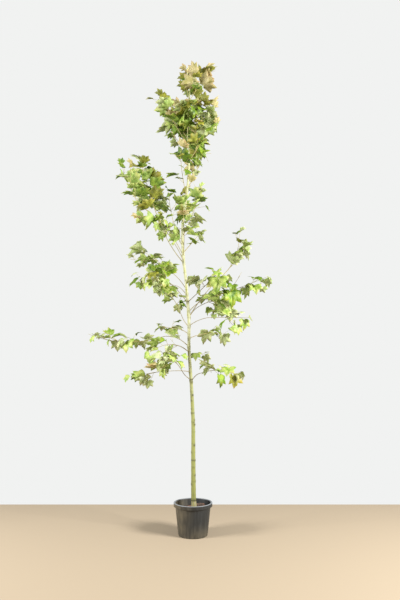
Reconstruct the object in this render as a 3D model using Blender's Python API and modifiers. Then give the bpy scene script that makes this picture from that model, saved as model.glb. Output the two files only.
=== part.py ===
"""A young plane tree in a round nursery pot, in metres with +Z up.

The origin is the middle of the pot's flat underside. The pot, the compost, the trunk, each bough and each
mass of leaves are objects of their own. Limbs and leaves grow by one seeded rule from the sizes below.
"""

import math
import random
from collections import namedtuple

import bmesh
import bpy
from mathutils import Matrix, Vector
from mathutils.bvhtree import BVHTree

# Clearance between neighbours
GAP = 0.0003

# Pot: a thrown-over rim with a hanging skirt, a tapering wall and notches at the foot for drainage
POT_HEIGHT = 0.236
RIM_RADIUS = 0.140
RIM_DEPTH = 0.0265
RIM_ROUND = 0.0025
SKIRT_THICKNESS = 0.0025
WALL_TOP_RADIUS = 0.1305
WALL_FOOT_RADIUS = 0.1062
WALL_THICKNESS = 0.0024
FLOOR_THICKNESS = 0.003
NOTCHES = 6
NOTCH_WIDTH = 0.013
NOTCH_DEPTH = 0.03
NOTCH_FIRST_AZIMUTH = -70
POT_STEPS = 32

# Compost, level where the trunk stands and a little lower at the wall
COMPOST_TOP = 0.190
COMPOST_LEVEL_RADIUS = 0.040
COMPOST_FALL = 0.003

# Trunk: x, y, height and diameter from the flat cut on the compost to the tip
TRUNK_KNOTS = (
    (0.007, 0.000, COMPOST_TOP + GAP, 0.044),
    (0.007, 0.000, 0.200, 0.041),
    (0.007, 0.000, 0.225, 0.037),
    (0.004, 0.001, 0.280, 0.035),
    (0.002, 0.003, 0.540, 0.031),
    (0.001, 0.004, 0.800, 0.027),
    (-0.010, 0.002, 1.050, 0.024),
    (-0.028, -0.006, 1.340, 0.022),
    (-0.030, -0.010, 1.550, 0.0215),
    (-0.048, -0.006, 1.800, 0.0205),
    (-0.070, 0.003, 2.020, 0.0195),
    (-0.076, 0.006, 2.240, 0.018),
    (-0.048, 0.004, 2.440, 0.016),
    (-0.028, -0.002, 2.700, 0.013),
    (-0.038, -0.004, 2.880, 0.010),
    (-0.026, 0.001, 3.140, 0.0075),
    (-0.020, 0.003, 3.340, 0.0045),
)
KNOT_STEPS = 2

# One row a limb. name; height on the trunk; azimuth and rise in degrees; length of the bare bough and how
# many degrees its rise turns; length of the stem in the leaves and how its rise turns; turn of the azimuth;
# diameter at the root; length of a leaf; leaves; side twigs; radius of the mass's own space; seed
Limb = namedtuple(
    "Limb", "name height azimuth rise bare lift stem stem_lift turn width leaf leaves twigs reach seed"
)
LIMBS = (
    Limb("low_right", 1.11, -55, 45, 0.16, -45, 0.30, -30, 15, 0.008, 0.088, 8, 1, 0.15, 9),
    Limb("low_front", 1.12, -120, 15, 0.20, 20, 0.24, -40, 25, 0.008, 0.085, 7, 1, 0.15, 6),
    Limb("low_left_front", 1.18, -135, 5, 0.18, -10, 0.30, -15, -20, 0.008, 0.096, 7, 1, 0.16, 42),
    Limb("low_left_mid", 1.32, -130, 30, 0.0, 0, 0.34, -60, -10, 0.007, 0.094, 7, 1, 0.16, 20),
    Limb("low_left", 1.36, 175, 50, 0.28, -75, 0.50, 35, 0, 0.008, 0.088, 12, 2, 0.15, 51),
    Limb("low_left_back", 1.45, 125, 30, 0.20, -25, 0.26, 0, -10, 0.008, 0.080, 7, 1, 0.14, 30),
    Limb("low_back", 1.42, 55, 20, 0.20, -10, 0.32, -15, 10, 0.008, 0.084, 8, 1, 0.15, 30),
    Limb("right_low", 1.51, -30, 30, 0.24, -40, 0.23, -5, -10, 0.007, 0.084, 7, 1, 0.14, 46),
    Limb("mid_left_back", 1.50, 125, 35, 0.20, 20, 0.31, -30, -20, 0.008, 0.082, 8, 1, 0.15, 2),
    Limb("right_back", 1.57, 55, 50, 0.21, -30, 0.33, -45, -10, 0.008, 0.086, 9, 2, 0.16, 22),
    Limb("right_outer", 1.61, -5, 50, 0.23, -40, 0.38, 5, 0, 0.008, 0.086, 12, 2, 0.16, 47),
    Limb("mid_left_front", 1.68, -115, 20, 0.17, 5, 0.26, -35, -15, 0.008, 0.086, 8, 2, 0.16, 50),
    Limb("right_front", 1.68, -55, 20, 0.18, -5, 0.26, -5, -15, 0.008, 0.088, 8, 2, 0.16, 9),
    Limb("mid_left_low", 1.73, 160, 60, 0.18, -55, 0.24, -5, 10, 0.007, 0.084, 7, 1, 0.14, 5),
    Limb("right_upper", 1.57, 10, 60, 0.45, -20, 0.38, 45, 45, 0.009, 0.080, 12, 2, 0.15, 3),
    Limb("mid_left_high", 1.77, 140, 55, 0.23, -20, 0.38, -5, 10, 0.008, 0.088, 11, 2, 0.16, 15),
    Limb("high_left_front", 1.97, -120, 50, 0.19, -15, 0.28, -10, -25, 0.008, 0.082, 8, 2, 0.15, 57),
    Limb("high_left", 1.96, 165, 50, 0.43, 20, 0.46, 5, -25, 0.009, 0.080, 12, 2, 0.15, 54),
    Limb("high_left_outer", 2.02, -175, 65, 0.40, -30, 0.36, 40, 15, 0.008, 0.080, 11, 2, 0.15, 40),
    Limb("high_left_inner", 2.08, 130, 55, 0.26, 10, 0.28, 15, -20, 0.007, 0.080, 8, 1, 0.14, 4),
    Limb("mid_front", 2.02, -85, 20, 0.0, 0, 0.35, 5, -5, 0.006, 0.076, 6, 1, 0.13, 14),
    Limb("mid_back", 2.19, 85, 40, 0.0, 0, 0.50, 25, 15, 0.006, 0.076, 8, 1, 0.14, 56),
    Limb("mid_right", 2.16, -45, 45, 0.0, 0, 0.34, 10, -20, 0.006, 0.080, 7, 1, 0.13, 1),
    Limb("mid_right_back", 2.04, 50, 45, 0.0, 0, 0.28, 0, 0, 0.006, 0.080, 5, 0, 0.13, 23),
    Limb("trunk_tuft", 1.30, -40, 10, 0.0, 0, 0.14, -20, 0, 0.004, 0.060, 4, 0, 0.11, 32),
    Limb("upper_mid_left", 2.45, -110, 50, 0.0, 0, 0.30, -10, 20, 0.005, 0.074, 7, 0, 0.13, 21),
    Limb("upper_mid_right", 2.51, 50, 50, 0.0, 0, 0.38, 25, 5, 0.006, 0.076, 8, 1, 0.13, 49),
    Limb("upper_back", 2.71, 65, 45, 0.0, 0, 0.40, 15, 10, 0.006, 0.076, 7, 1, 0.13, 2),
    Limb("upper_left_low", 2.77, 135, 50, 0.0, 0, 0.32, -10, 0, 0.005, 0.064, 7, 1, 0.12, 36),
    Limb("upper_left_back", 2.86, 120, 50, 0.0, 0, 0.30, 5, 15, 0.005, 0.072, 7, 0, 0.13, 46),
    Limb("upper_right", 2.81, -40, 50, 0.0, 0, 0.30, -15, 5, 0.005, 0.078, 7, 1, 0.13, 48),
    Limb("upper_right_low", 2.70, -30, 50, 0.0, 0, 0.30, -15, 0, 0.005, 0.076, 7, 1, 0.13, 3),
    Limb("upper_left", 2.82, -165, 50, 0.0, 0, 0.38, 20, -5, 0.005, 0.074, 8, 1, 0.13, 43),
    Limb("upper_front", 2.89, -85, 35, 0.0, 0, 0.20, 0, -5, 0.005, 0.072, 6, 0, 0.12, 11),
    Limb("top_right", 3.14, -30, 40, 0.0, 0, 0.22, 20, -10, 0.0045, 0.074, 8, 1, 0.13, 11),
    Limb("top_left", 3.14, 120, 65, 0.0, 0, 0.29, 15, -20, 0.0045, 0.076, 8, 1, 0.13, 24),
)

# Limbs: length of one straight piece, and how much of its width a bough keeps at its tip
LIMB_STEP = 0.09
BOUGH_TAPER = 0.62

# Side twigs: places on the stem, swing about it, lean from it, share of its length, bends and widths
TWIG_PLACES = (0.12, 0.62)
TWIG_SWING = 60
TWIG_LEAN = (38, 60)
TWIG_LENGTH = (0.36, 0.55)
TWIG_TURN = 20
TWIG_LIFT = (-10, 30)
TWIG_WIDTH = 0.0040
TWIG_TIP = 0.0034
TWIG_SUNK = 0.10
TWIG_CORNER = 0.6

# Leaf: angle from the tip's direction and reach from the joint of its veins, for half of its outline
LOBES = ((0, 1.00), (26, 0.64), (50, 0.92), (106, 0.68), (165, 0.10))
LEAF_THICKNESS = 0.035
LEAF_SAG = 0.18
LEAF_SIZES = (0.82, 1.12)
TIP_LEAF = 0.62
BLADE_TURN = 35
BLADE_DROP = (20, 75)
BLADE_ROLL = 35
STEEPEST = -78

# Stalk of a leaf, as shares of the leaf's length, and how far it leans from the twig's foot to its tip
STALK_SHARE = 0.62
STALK_SIZES = (0.85, 1.25)
STALK_LEAN = (68, 25)
STALK_LIFT = 0.15
STALK_TAPER = 0.5
STALK_SUNK = 0.12

# Where leaves begin on a stem out of the trunk and on any other shoot, where they end and how they swing
FIRST_ON_TRUNK = 0.30
FIRST_LEAF = 0.08
LAST_LEAF = 0.98
GOLDEN_ANGLE = 137.5
LEAF_SWING = 50

# Room kept round bark, tries to place a leaf, and how near a thing must be to be in a new leaf's way
BARK_MARGIN = 0.001
TRIES = 14
NEAR = 0.2

# Edges that turn more than this, in degrees, are shaded sharp
SHARP_ANGLE = 35

# Colours in linear light, and roughness
POT_GREY = (0.068, 0.067, 0.062)
COMPOST_BROWN = (0.028, 0.019, 0.013)
BARK_OLIVE = (0.36, 0.34, 0.14)
LEAF_GREEN = (0.16, 0.26, 0.03)
POT_ROUGHNESS = 0.55
COMPOST_ROUGHNESS = 0.95
BARK_ROUGHNESS = 0.7
LEAF_ROUGHNESS = 0.5


def heading(azimuth, rise):
    """The unit direction with an azimuth and a rise in degrees."""
    around, up = math.radians(azimuth), math.radians(rise)
    return Vector((math.cos(up) * math.cos(around), math.cos(up) * math.sin(around), math.sin(up)))


def angles_of(direction):
    """The azimuth and rise of a direction, in degrees."""
    level = math.hypot(direction.x, direction.y)
    return math.degrees(math.atan2(direction.y, direction.x)), math.degrees(math.atan2(direction.z, level))


def between(low, high, share):
    return low + (high - low) * share


def bend_through(a, b, c, d, t):
    """A number on the smooth curve from b to c that comes from a and goes on to d."""
    square = 2 * a - 5 * b + 4 * c - d
    cube = 3 * b - a - 3 * c + d
    return 0.5 * (2 * b + (c - a) * t + square * t ** 2 + cube * t ** 3)


def smooth_route(knots, steps):
    """Rows of numbers on a smooth curve through the knots."""
    rows = [knots[0], *knots, knots[-1]]
    route = []
    for before, here, after, beyond in zip(rows, rows[1:], rows[2:], rows[3:]):
        for step in range(steps):
            columns = zip(before, here, after, beyond)
            route.append([bend_through(*column, step / steps) for column in columns])
    route.append(list(knots[-1]))
    return route


TRUNK = smooth_route(TRUNK_KNOTS, KNOT_STEPS)


def trunk_at(height):
    """The middle of the trunk at a height."""
    for low, high in zip(TRUNK, TRUNK[1:]):
        if low[2] <= height <= high[2]:
            share = (height - low[2]) / (high[2] - low[2])
            return Vector(between(a, b, share) for a, b in zip(low[:3], high[:3]))
    raise ValueError("no trunk at this height")


def sweep(start, azimuth, rise, length, turn, lift):
    """Points of a limb that sets out by azimuth and rise and bends evenly by turn and lift."""
    steps = max(2, round(length / LIMB_STEP))
    points = [Vector(start)]
    for step in range(steps):
        share = (step + 0.5) / steps
        points.append(points[-1] + heading(azimuth + turn * share, rise + lift * share) * length / steps)
    return points


def place_on(points, share):
    """The point and direction at a share of a shoot's length."""
    reach = share * (len(points) - 1)
    index = min(int(reach), len(points) - 2)
    low, high = points[index], points[index + 1]
    return low.lerp(high, reach - index), (high - low).normalized()


def taper(points, thick, thin):
    return [between(thick, thin, index / (len(points) - 1)) for index in range(len(points))]


Shoot = namedtuple("Shoot", "points widths")
Leaf = namedtuple("Leaf", "foot joint axis face length")


def bough_of(limb):
    """The bare bough, from the trunk's middle out to where it enters its mass."""
    share = limb.bare / (limb.bare + limb.stem)
    points = sweep(trunk_at(limb.height), limb.azimuth, limb.rise, limb.bare, limb.turn * share, limb.lift)
    return Shoot(points, taper(points, limb.width, limb.width * BOUGH_TAPER))


def stem_of(limb):
    """The stem of a mass, on from its bough's tip or out of the trunk."""
    if not limb.bare:
        points = sweep(trunk_at(limb.height), limb.azimuth, limb.rise, limb.stem, limb.turn, limb.stem_lift)
        return Shoot(points, taper(points, limb.width, TWIG_TIP))
    before, tip = bough_of(limb).points[-2:]
    along = (tip - before).normalized()
    azimuth, rise = angles_of(along)
    share = limb.stem / (limb.bare + limb.stem)
    points = sweep(tip + along * GAP, azimuth, rise, limb.stem, limb.turn * share, limb.stem_lift)
    return Shoot(points, taper(points, limb.width * BOUGH_TAPER, TWIG_TIP))


def side_direction(along, spin, spread):
    """A direction that leaves along by the spread angle, at the spin angle round it."""
    side = along.orthogonal().normalized()
    level = along.cross(Vector((0, 0, 1)))
    if level.length > 0.05:
        side = level.normalized()
    side = Matrix.Rotation(math.radians(spin), 3, along) @ side
    tilt = math.radians(spread)
    return (along * math.cos(tilt) + side * math.sin(tilt)).normalized()


def twigs_of(limb, stem, draw):
    """Side twigs at even places on the stem, on alternate sides."""
    twigs = []
    for order in range(limb.twigs):
        foot, along = place_on(stem.points, between(*TWIG_PLACES, (order + 0.5) / limb.twigs))
        spin = order * 180 + draw.uniform(-TWIG_SWING, TWIG_SWING)
        azimuth, rise = angles_of(side_direction(along, spin, draw.uniform(*TWIG_LEAN)))
        length = limb.stem * draw.uniform(*TWIG_LENGTH)
        turn = draw.uniform(-TWIG_TURN, TWIG_TURN)
        points = sweep(foot, azimuth, rise, length, turn, draw.uniform(*TWIG_LIFT))
        twigs.append(Shoot(points, taper(points, TWIG_WIDTH, TWIG_TIP)))
    return twigs


def leaf_on(limb, shoot, share, order, draw):
    """One leaf on its stalk, alternate with its neighbours, its blade hanging outwards."""
    foot, along = place_on(shoot.points, share)
    spin = order * GOLDEN_ANGLE + draw.uniform(-LEAF_SWING, LEAF_SWING)
    length = limb.leaf * between(1.0, TIP_LEAF, share) * draw.uniform(*LEAF_SIZES)
    stalk = side_direction(along, spin, between(*STALK_LEAN, share)) + Vector((0, 0, STALK_LIFT))
    joint = foot + stalk.normalized() * length * STALK_SHARE * draw.uniform(*STALK_SIZES)
    azimuth, rise = angles_of(stalk)
    azimuth += draw.uniform(-BLADE_TURN, BLADE_TURN)
    rise -= draw.uniform(*BLADE_DROP)
    axis = heading(azimuth, max(STEEPEST, rise))
    face = (Vector((0, 0, 1)) - axis * axis.z).normalized()
    face = Matrix.Rotation(math.radians(draw.uniform(-BLADE_ROLL, BLADE_ROLL)), 3, axis) @ face
    return Leaf(foot, joint, axis, face, length)


def outline():
    """The whole outline of a leaf from its half, as angles in radians and reaches."""
    half = [(math.radians(angle), reach) for angle, reach in LOBES]
    return half + [(-angle, reach) for angle, reach in half[:0:-1]]


def blade_ring(leaf):
    """The leaf's outline in space, with its lobes hanging a little."""
    side = leaf.face.cross(leaf.axis)
    ring = []
    for angle, reach in outline():
        ahead, across = reach * math.cos(angle), reach * math.sin(angle)
        sag = LEAF_SAG * (ahead * ahead + across * across)
        ring.append(leaf.joint + (leaf.axis * ahead + side * across - leaf.face * sag) * leaf.length)
    return ring


def blade_heart(leaf):
    """The two points, above and below the joint, that give the blade its thickness."""
    lift = leaf.face * leaf.length * LEAF_THICKNESS / 2
    return leaf.joint + lift, leaf.joint - lift


def stalk_mouth(leaf):
    """The three corners under the blade's base from which the stalk is drawn out."""
    ring = blade_ring(leaf)
    return ring[len(LOBES) - 1], blade_heart(leaf)[1], ring[len(LOBES)]


# What is in the way of a new leaf or twig: whose it is, what it is, its shape and a sphere round it
Guard = namedtuple("Guard", "owner kind tree centre radius")


def guard_of(owner, kind, points, faces):
    centre = sum(points, Vector()) / len(points)
    radius = max((point - centre).length for point in points)
    return Guard(owner, kind, BVHTree.FromPolygons(points, faces), centre, radius)


def blade_guard(leaf, owner):
    ring = blade_ring(leaf)
    count = len(ring)
    faces = [(index, (index + 1) % count, count) for index in range(count)]
    faces += [((index + 1) % count, index, count + 1) for index in range(count)]
    return guard_of(owner, "blade", [*ring, *blade_heart(leaf)], faces)


def stalk_guard(leaf, owner):
    """The stalk from its mouth to just short of the twig that it grows from."""
    mouth = stalk_mouth(leaf)
    middle = sum(mouth, Vector()) / len(mouth)
    foot = [leaf.foot + (corner - middle) * STALK_TAPER for corner in mouth]
    short = [low.lerp(high, STALK_SUNK) for low, high in zip(foot, mouth)]
    faces = [(0, 1, 4, 3), (1, 2, 5, 4), (2, 0, 3, 5), (3, 4, 5)]
    return guard_of(owner, "stalk", [*mouth, *short], faces)


def limb_guard(points, widths, owner):
    """A three-sided sleeve that a limb and its margin just fit in: its corners stand twice as far out."""
    corners = []
    faces = []
    for index, (point, width) in enumerate(zip(points, widths)):
        along = (points[min(index + 1, len(points) - 1)] - points[max(index - 1, 0)]).normalized()
        side = along.orthogonal().normalized() * 2 * (width / 2 + BARK_MARGIN)
        corners += [point + Matrix.Rotation(math.radians(120 * turn), 3, along) @ side for turn in range(3)]
    for ring in range(0, len(corners) - 3, 3):
        for turn in range(3):
            low, high = ring + turn, ring + (turn + 1) % 3
            faces.append((low, high, high + 3, low + 3))
    faces.append((0, 1, 2))
    faces.append((len(corners) - 3, len(corners) - 2, len(corners) - 1))
    return guard_of(owner, "limb", corners, faces)


def clear_of(guard, others):
    """Whether a shape touches none of the others."""
    for other in others:
        apart = (guard.centre - other.centre).length
        if apart < guard.radius + other.radius and guard.tree.overlap(other.tree):
            return False
    return True


def distance_to(points, place):
    """How far a place is from a shoot."""
    distances = []
    for low, high in zip(points, points[1:]):
        along = high - low
        share = (place - low).dot(along) / along.length_squared
        distances.append((place - low - along * min(1.0, max(0.0, share))).length)
    return min(distances)


def grow_leaf(limb, stem, shoot, share, order, draw, guards):
    """A leaf that keeps to its mass's space and touches nothing, or None after too many tries."""
    for _ in range(TRIES):
        leaf = leaf_on(limb, shoot, share, order, draw)
        if max(distance_to(stem.points, point) for point in blade_ring(leaf)) > limb.reach:
            continue
        blade = blade_guard(leaf, limb.name)
        stalk = stalk_guard(leaf, limb.name)
        near = [guard for guard in guards if (guard.centre - leaf.joint).length < guard.radius + NEAR]
        strangers = [guard for guard in near if guard.owner != limb.name or guard.kind == "blade"]
        if clear_of(blade, near) and clear_of(stalk, strangers):
            guards += [blade, stalk]
            return leaf
    return None


def grow_shoots(limbs):
    """Every bough, stem and side twig. A twig that would touch another limb is skipped."""
    guards = []
    for low, high in zip(TRUNK, TRUNK[1:]):
        guards.append(limb_guard([Vector(low[:3]), Vector(high[:3])], [low[3], high[3]], "trunk"))
    shoots = {}
    for limb in limbs:
        if limb.bare:
            guards.append(limb_guard(*bough_of(limb), "bough_" + limb.name))
        stem = stem_of(limb)
        guards.append(limb_guard(*stem, limb.name))
        shoots[limb.name] = [stem]
    for limb in limbs:
        draw = random.Random(limb.seed)
        for twig in twigs_of(limb, shoots[limb.name][0], draw):
            outside = [twig.points[0].lerp(twig.points[1], TWIG_SUNK), *twig.points[1:]]
            guard = limb_guard(outside, twig.widths, limb.name)
            if clear_of(guard, [other for other in guards if other.owner != limb.name]):
                guards.append(guard)
                shoots[limb.name].append(twig)
    return shoots, guards


def length_of(points):
    return sum((high - low).length for low, high in zip(points, points[1:]))


def leaf_places(limb, shoots):
    """Shoot, share of its length and order of each leaf: a shoot carries leaves by its length."""
    whole = sum(length_of(shoot.points) for shoot in shoots)
    places = []
    for shoot in shoots:
        count = max(1, round(limb.leaves * length_of(shoot.points) / whole))
        first = FIRST_ON_TRUNK if shoot is shoots[0] and not limb.bare else FIRST_LEAF
        for order in range(count):
            share = between(first, LAST_LEAF, (order + 0.5) / max(1, count - 0.5))
            places.append((shoot, min(share, LAST_LEAF), order))
    return places


def grow_leaves(limb, shoots, guards):
    draw = random.Random(limb.seed * 1000)
    leaves = []
    for shoot, share, order in leaf_places(limb, shoots):
        leaf = grow_leaf(limb, shoots[0], shoot, share, order, draw, guards)
        if leaf:
            leaves.append(leaf)
    return leaves


def clear_scene():
    for thing in list(bpy.data.objects):
        bpy.data.objects.remove(thing)


def new_collection(name, hidden=False):
    collection = bpy.data.collections.new(name)
    bpy.context.scene.collection.children.link(collection)
    collection.hide_render = hidden
    return collection


def plain_material(name, colour, roughness):
    material = bpy.data.materials.new(name)
    material.use_nodes = True
    shader = material.node_tree.nodes["Principled BSDF"]
    shader.inputs["Base Color"].default_value = (*colour, 1)
    shader.inputs["Roughness"].default_value = roughness
    shader.inputs["Metallic"].default_value = 0
    return material


def add_object(name, mesh, collection, material=None):
    thing = bpy.data.objects.new(name, mesh)
    collection.objects.link(thing)
    if material:
        mesh.materials.clear()
        mesh.materials.append(material)
    return thing


def make_cutter(thing):
    thing.hide_render = True
    thing.display_type = "WIRE"
    return thing


def cut_by(thing, cutter):
    cut = thing.modifiers.new("cut", "BOOLEAN")
    cut.operation = "DIFFERENCE"
    cut.object = cutter


def apply_modifiers(thing):
    """Gives an object the mesh that its modifiers make of it."""
    graph = bpy.context.evaluated_depsgraph_get()
    mesh = bpy.data.meshes.new_from_object(thing.evaluated_get(graph))
    thing.modifiers.clear()
    thing.data = mesh


def shade_round(thing):
    """Smooth shading except over sharp edges."""
    apply_modifiers(thing)
    thing.data.shade_smooth()
    thing.data.set_sharp_from_angle(angle=math.radians(SHARP_ANGLE))


def mesh_from(name, shape):
    mesh = bpy.data.meshes.new(name)
    shape.to_mesh(mesh)
    shape.free()
    return mesh


def turned(name, profile, collection, material):
    """A profile of radius and height, turned round the vertical axis."""
    shape = bmesh.new()
    corners = [shape.verts.new((radius, 0, height)) for radius, height in profile]
    for low, high in zip(corners, corners[1:]):
        shape.edges.new((low, high))
    thing = add_object(name, mesh_from(name, shape), collection, material)
    screw = thing.modifiers.new("turn", "SCREW")
    screw.steps = POT_STEPS
    screw.render_steps = POT_STEPS
    screw.use_merge_vertices = True
    screw.merge_threshold = 0.00001
    return thing


def three_sided_section():
    """The section of a twig, as a closed curve whose corners stand a little outside its round width."""
    section = bpy.data.curves.new("twig_section", "CURVE")
    spline = section.splines.new("POLY")
    spline.points.add(2)
    spline.use_cyclic_u = True
    for corner, knot in enumerate(spline.points):
        angle = math.radians(120 * corner)
        knot.co = (TWIG_CORNER * math.cos(angle), TWIG_CORNER * math.sin(angle), 0, 1)
    return bpy.data.objects.new("twig_section", section)


def route_curve(name, shoot, grow):
    """A curve along a shoot whose radius at each point is the shoot's width there."""
    curve = bpy.data.curves.new(name, "CURVE")
    curve.dimensions = "3D"
    curve.use_fill_caps = True
    spline = curve.splines.new("POLY")
    spline.points.add(len(shoot.points) - 1)
    for knot, point, width in zip(spline.points, shoot.points, shoot.widths):
        knot.co = (*point, 1)
        knot.radius = width + 2 * grow
    return curve


def tube_mesh(name, shoot, roundness=0, grow=0.0, section=None):
    """A closed tapering tube along a shoot, round or with a given section."""
    curve = route_curve(name, shoot, grow)
    curve.bevel_depth = 0.5
    curve.bevel_resolution = roundness
    if section:
        curve.bevel_mode = "OBJECT"
        curve.bevel_object = section
    guide = bpy.data.objects.new(name, curve)
    bpy.context.scene.collection.objects.link(guide)
    graph = bpy.context.evaluated_depsgraph_get()
    mesh = bpy.data.meshes.new_from_object(guide.evaluated_get(graph))
    bpy.data.objects.remove(guide)
    bpy.data.curves.remove(curve)
    shape = bmesh.new()
    shape.from_mesh(mesh)
    bmesh.ops.remove_doubles(shape, verts=shape.verts, dist=0.00001)
    bmesh.ops.recalc_face_normals(shape, faces=shape.faces)
    shape.to_mesh(mesh)
    shape.free()
    return mesh


def wall_radius(height):
    """The outer radius of the pot's tapering wall."""
    return between(WALL_FOOT_RADIUS, WALL_TOP_RADIUS, height / POT_HEIGHT)


def pot_profile():
    """Radius and height down the inside, over the rim and its skirt, and down the outer wall."""
    skirt_foot = POT_HEIGHT - RIM_DEPTH
    skirt_inside = RIM_RADIUS - SKIRT_THICKNESS
    under_rim = POT_HEIGHT - 2 * SKIRT_THICKNESS
    mouth = wall_radius(POT_HEIGHT) - WALL_THICKNESS
    return (
        (0, FLOOR_THICKNESS),
        (wall_radius(FLOOR_THICKNESS) - WALL_THICKNESS, FLOOR_THICKNESS),
        (mouth, POT_HEIGHT - RIM_ROUND),
        (mouth + RIM_ROUND, POT_HEIGHT),
        (RIM_RADIUS - RIM_ROUND, POT_HEIGHT),
        (RIM_RADIUS, POT_HEIGHT - RIM_ROUND),
        (RIM_RADIUS, skirt_foot + RIM_ROUND / 2),
        (RIM_RADIUS - SKIRT_THICKNESS / 2, skirt_foot),
        (skirt_inside, skirt_foot + RIM_ROUND / 2),
        (skirt_inside, under_rim),
        (wall_radius(under_rim), under_rim),
        (wall_radius(RIM_ROUND), RIM_ROUND),
        (wall_radius(0) - RIM_ROUND / 2, 0),
        (0, 0),
    )


def notch_cutter(number, collection):
    """A round bar that lies outwards through the foot of the wall."""
    half = NOTCH_WIDTH / 2
    shape = bmesh.new()
    bmesh.ops.create_cone(shape, cap_ends=True, segments=8, radius1=half, radius2=half, depth=NOTCH_DEPTH)
    name = f"notch_cutter_{number}"
    bar = make_cutter(add_object(name, mesh_from(name, shape), collection))
    azimuth = math.radians(NOTCH_FIRST_AZIMUTH + 360 / NOTCHES * number)
    bar.location = (WALL_FOOT_RADIUS * math.cos(azimuth), WALL_FOOT_RADIUS * math.sin(azimuth), 0)
    bar.rotation_euler = (0, math.radians(90), azimuth)
    return bar


def build_pot(plant, cutters, material):
    pot = turned("pot", pot_profile(), plant, material)
    for number in range(NOTCHES):
        cut_by(pot, notch_cutter(number, cutters))
    shade_round(pot)


def build_compost(plant, material):
    foot = FLOOR_THICKNESS + GAP
    edge = COMPOST_TOP - COMPOST_FALL
    inset = WALL_THICKNESS + 1.2 * GAP
    profile = (
        (0, COMPOST_TOP),
        (COMPOST_LEVEL_RADIUS, COMPOST_TOP),
        (wall_radius(edge) - inset, edge),
        (wall_radius(foot) - inset, foot),
        (0, foot),
    )
    shade_round(turned("compost", profile, plant, material))


def build_trunk(plant, cutters, material):
    """The whole trunk, and a sleeve round it that cuts each limb clear of it."""
    shoot = Shoot([Vector(row[:3]) for row in TRUNK], [row[3] for row in TRUNK])
    shade_round(add_object("trunk", tube_mesh("trunk", shoot, 2), plant, material))
    sleeve = tube_mesh("trunk_cutter", shoot, 2, GAP)
    return make_cutter(add_object("trunk_cutter", sleeve, cutters))


def build_bough(limb, trunk_cutter, plant, material):
    name = "bough_" + limb.name
    bough = add_object(name, tube_mesh(name, bough_of(limb), 1), plant, material)
    cut_by(bough, trunk_cutter)
    shade_round(bough)


def leaf_mesh(leaf):
    """A thin lobed blade, thickest where its veins meet, with a stalk drawn out of its base."""
    shape = bmesh.new()
    ring = blade_ring(leaf)
    bmesh.ops.create_cone(
        shape, cap_ends=True, cap_tris=True, segments=len(ring), radius1=1, radius2=0, depth=1
    )
    bottom, *rim, top = shape.verts
    for corner, point in zip(rim, [ring[0], *ring[:0:-1]]):
        corner.co = point
    top.co, bottom.co = blade_heart(leaf)
    draw_out_stalk(shape, leaf)
    return mesh_from("leaf", shape)


def draw_out_stalk(shape, leaf):
    """Opens the underside of the blade's base and extrudes that mouth, smaller, to the leaf's foot."""
    mouth = [min(shape.verts, key=lambda corner: (corner.co - place).length) for place in stalk_mouth(leaf)]
    base = [face for face in shape.faces if set(face.verts) == set(mouth)]
    bmesh.ops.delete(shape, geom=base, context="FACES_ONLY")
    middle = sum((corner.co for corner in mouth), Vector()) / len(mouth)
    rim = [edge for edge in shape.edges if edge.is_boundary]
    drawn = bmesh.ops.extrude_edge_only(shape, edges=rim)["geom"]
    for corner in [item for item in drawn if isinstance(item, bmesh.types.BMVert)]:
        corner.co = leaf.foot + (corner.co - middle) * STALK_TAPER
    bmesh.ops.holes_fill(shape, edges=[edge for edge in shape.edges if edge.is_boundary], sides=3)
    bmesh.ops.recalc_face_normals(shape, faces=shape.faces)


def join_pieces(thing, pieces):
    """Joins a collection's objects onto one object in a single union, and removes them."""
    union = thing.modifiers.new("union", "BOOLEAN")
    union.operation = "UNION"
    union.operand_type = "COLLECTION"
    union.collection = pieces
    union.solver = "MANIFOLD"
    apply_modifiers(thing)
    for piece in list(pieces.objects):
        bpy.data.objects.remove(piece)
    bpy.data.collections.remove(pieces)


def build_mass(limb, shoots, leaves, section, trunk_cutter, plant, material):
    """The stem of a mass with its twigs and leaves, joined into one solid."""
    name = "leaves_" + limb.name
    stem, *twigs = shoots
    pieces = new_collection("pieces_of_" + name)
    for twig in twigs:
        add_object("twig", tube_mesh("twig", twig, section=section), pieces, material)
    for leaf in leaves:
        add_object("leaf", leaf_mesh(leaf), pieces, material)
    mass = add_object(name, tube_mesh(name, stem, section=section), plant, material)
    join_pieces(mass, pieces)
    if not limb.bare:
        cut_by(mass, trunk_cutter)


def main():
    clear_scene()
    plant = new_collection("potted_plane_tree")
    cutters = new_collection("cutters", hidden=True)
    plastic = plain_material("grey_pot_plastic", POT_GREY, POT_ROUGHNESS)
    soil = plain_material("bark_compost", COMPOST_BROWN, COMPOST_ROUGHNESS)
    bark = plain_material("young_bark", BARK_OLIVE, BARK_ROUGHNESS)
    foliage = plain_material("leaf_green", LEAF_GREEN, LEAF_ROUGHNESS)
    build_pot(plant, cutters, plastic)
    build_compost(plant, soil)
    trunk_cutter = build_trunk(plant, cutters, bark)
    section = make_cutter(three_sided_section())
    cutters.objects.link(section)
    shoots, guards = grow_shoots(LIMBS)
    for limb in LIMBS:
        if limb.bare:
            build_bough(limb, trunk_cutter, plant, bark)
        leaves = grow_leaves(limb, shoots[limb.name], guards)
        build_mass(limb, shoots[limb.name], leaves, section, trunk_cutter, plant, foliage)


main()
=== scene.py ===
# %% [markdown]
# A young plane tree in a round nursery pot, as a garden centre sells it for a patio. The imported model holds
# every solid at its real size: the pot, the compost, the trunk, the boughs and the masses of leaves. This
# lesson dresses that model. Each plain solid is replaced by a finer mesh in the same place, with a finish
# made of nodes. Nothing is moved or resized, so the first step keeps the model's box for a last check.

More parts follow.
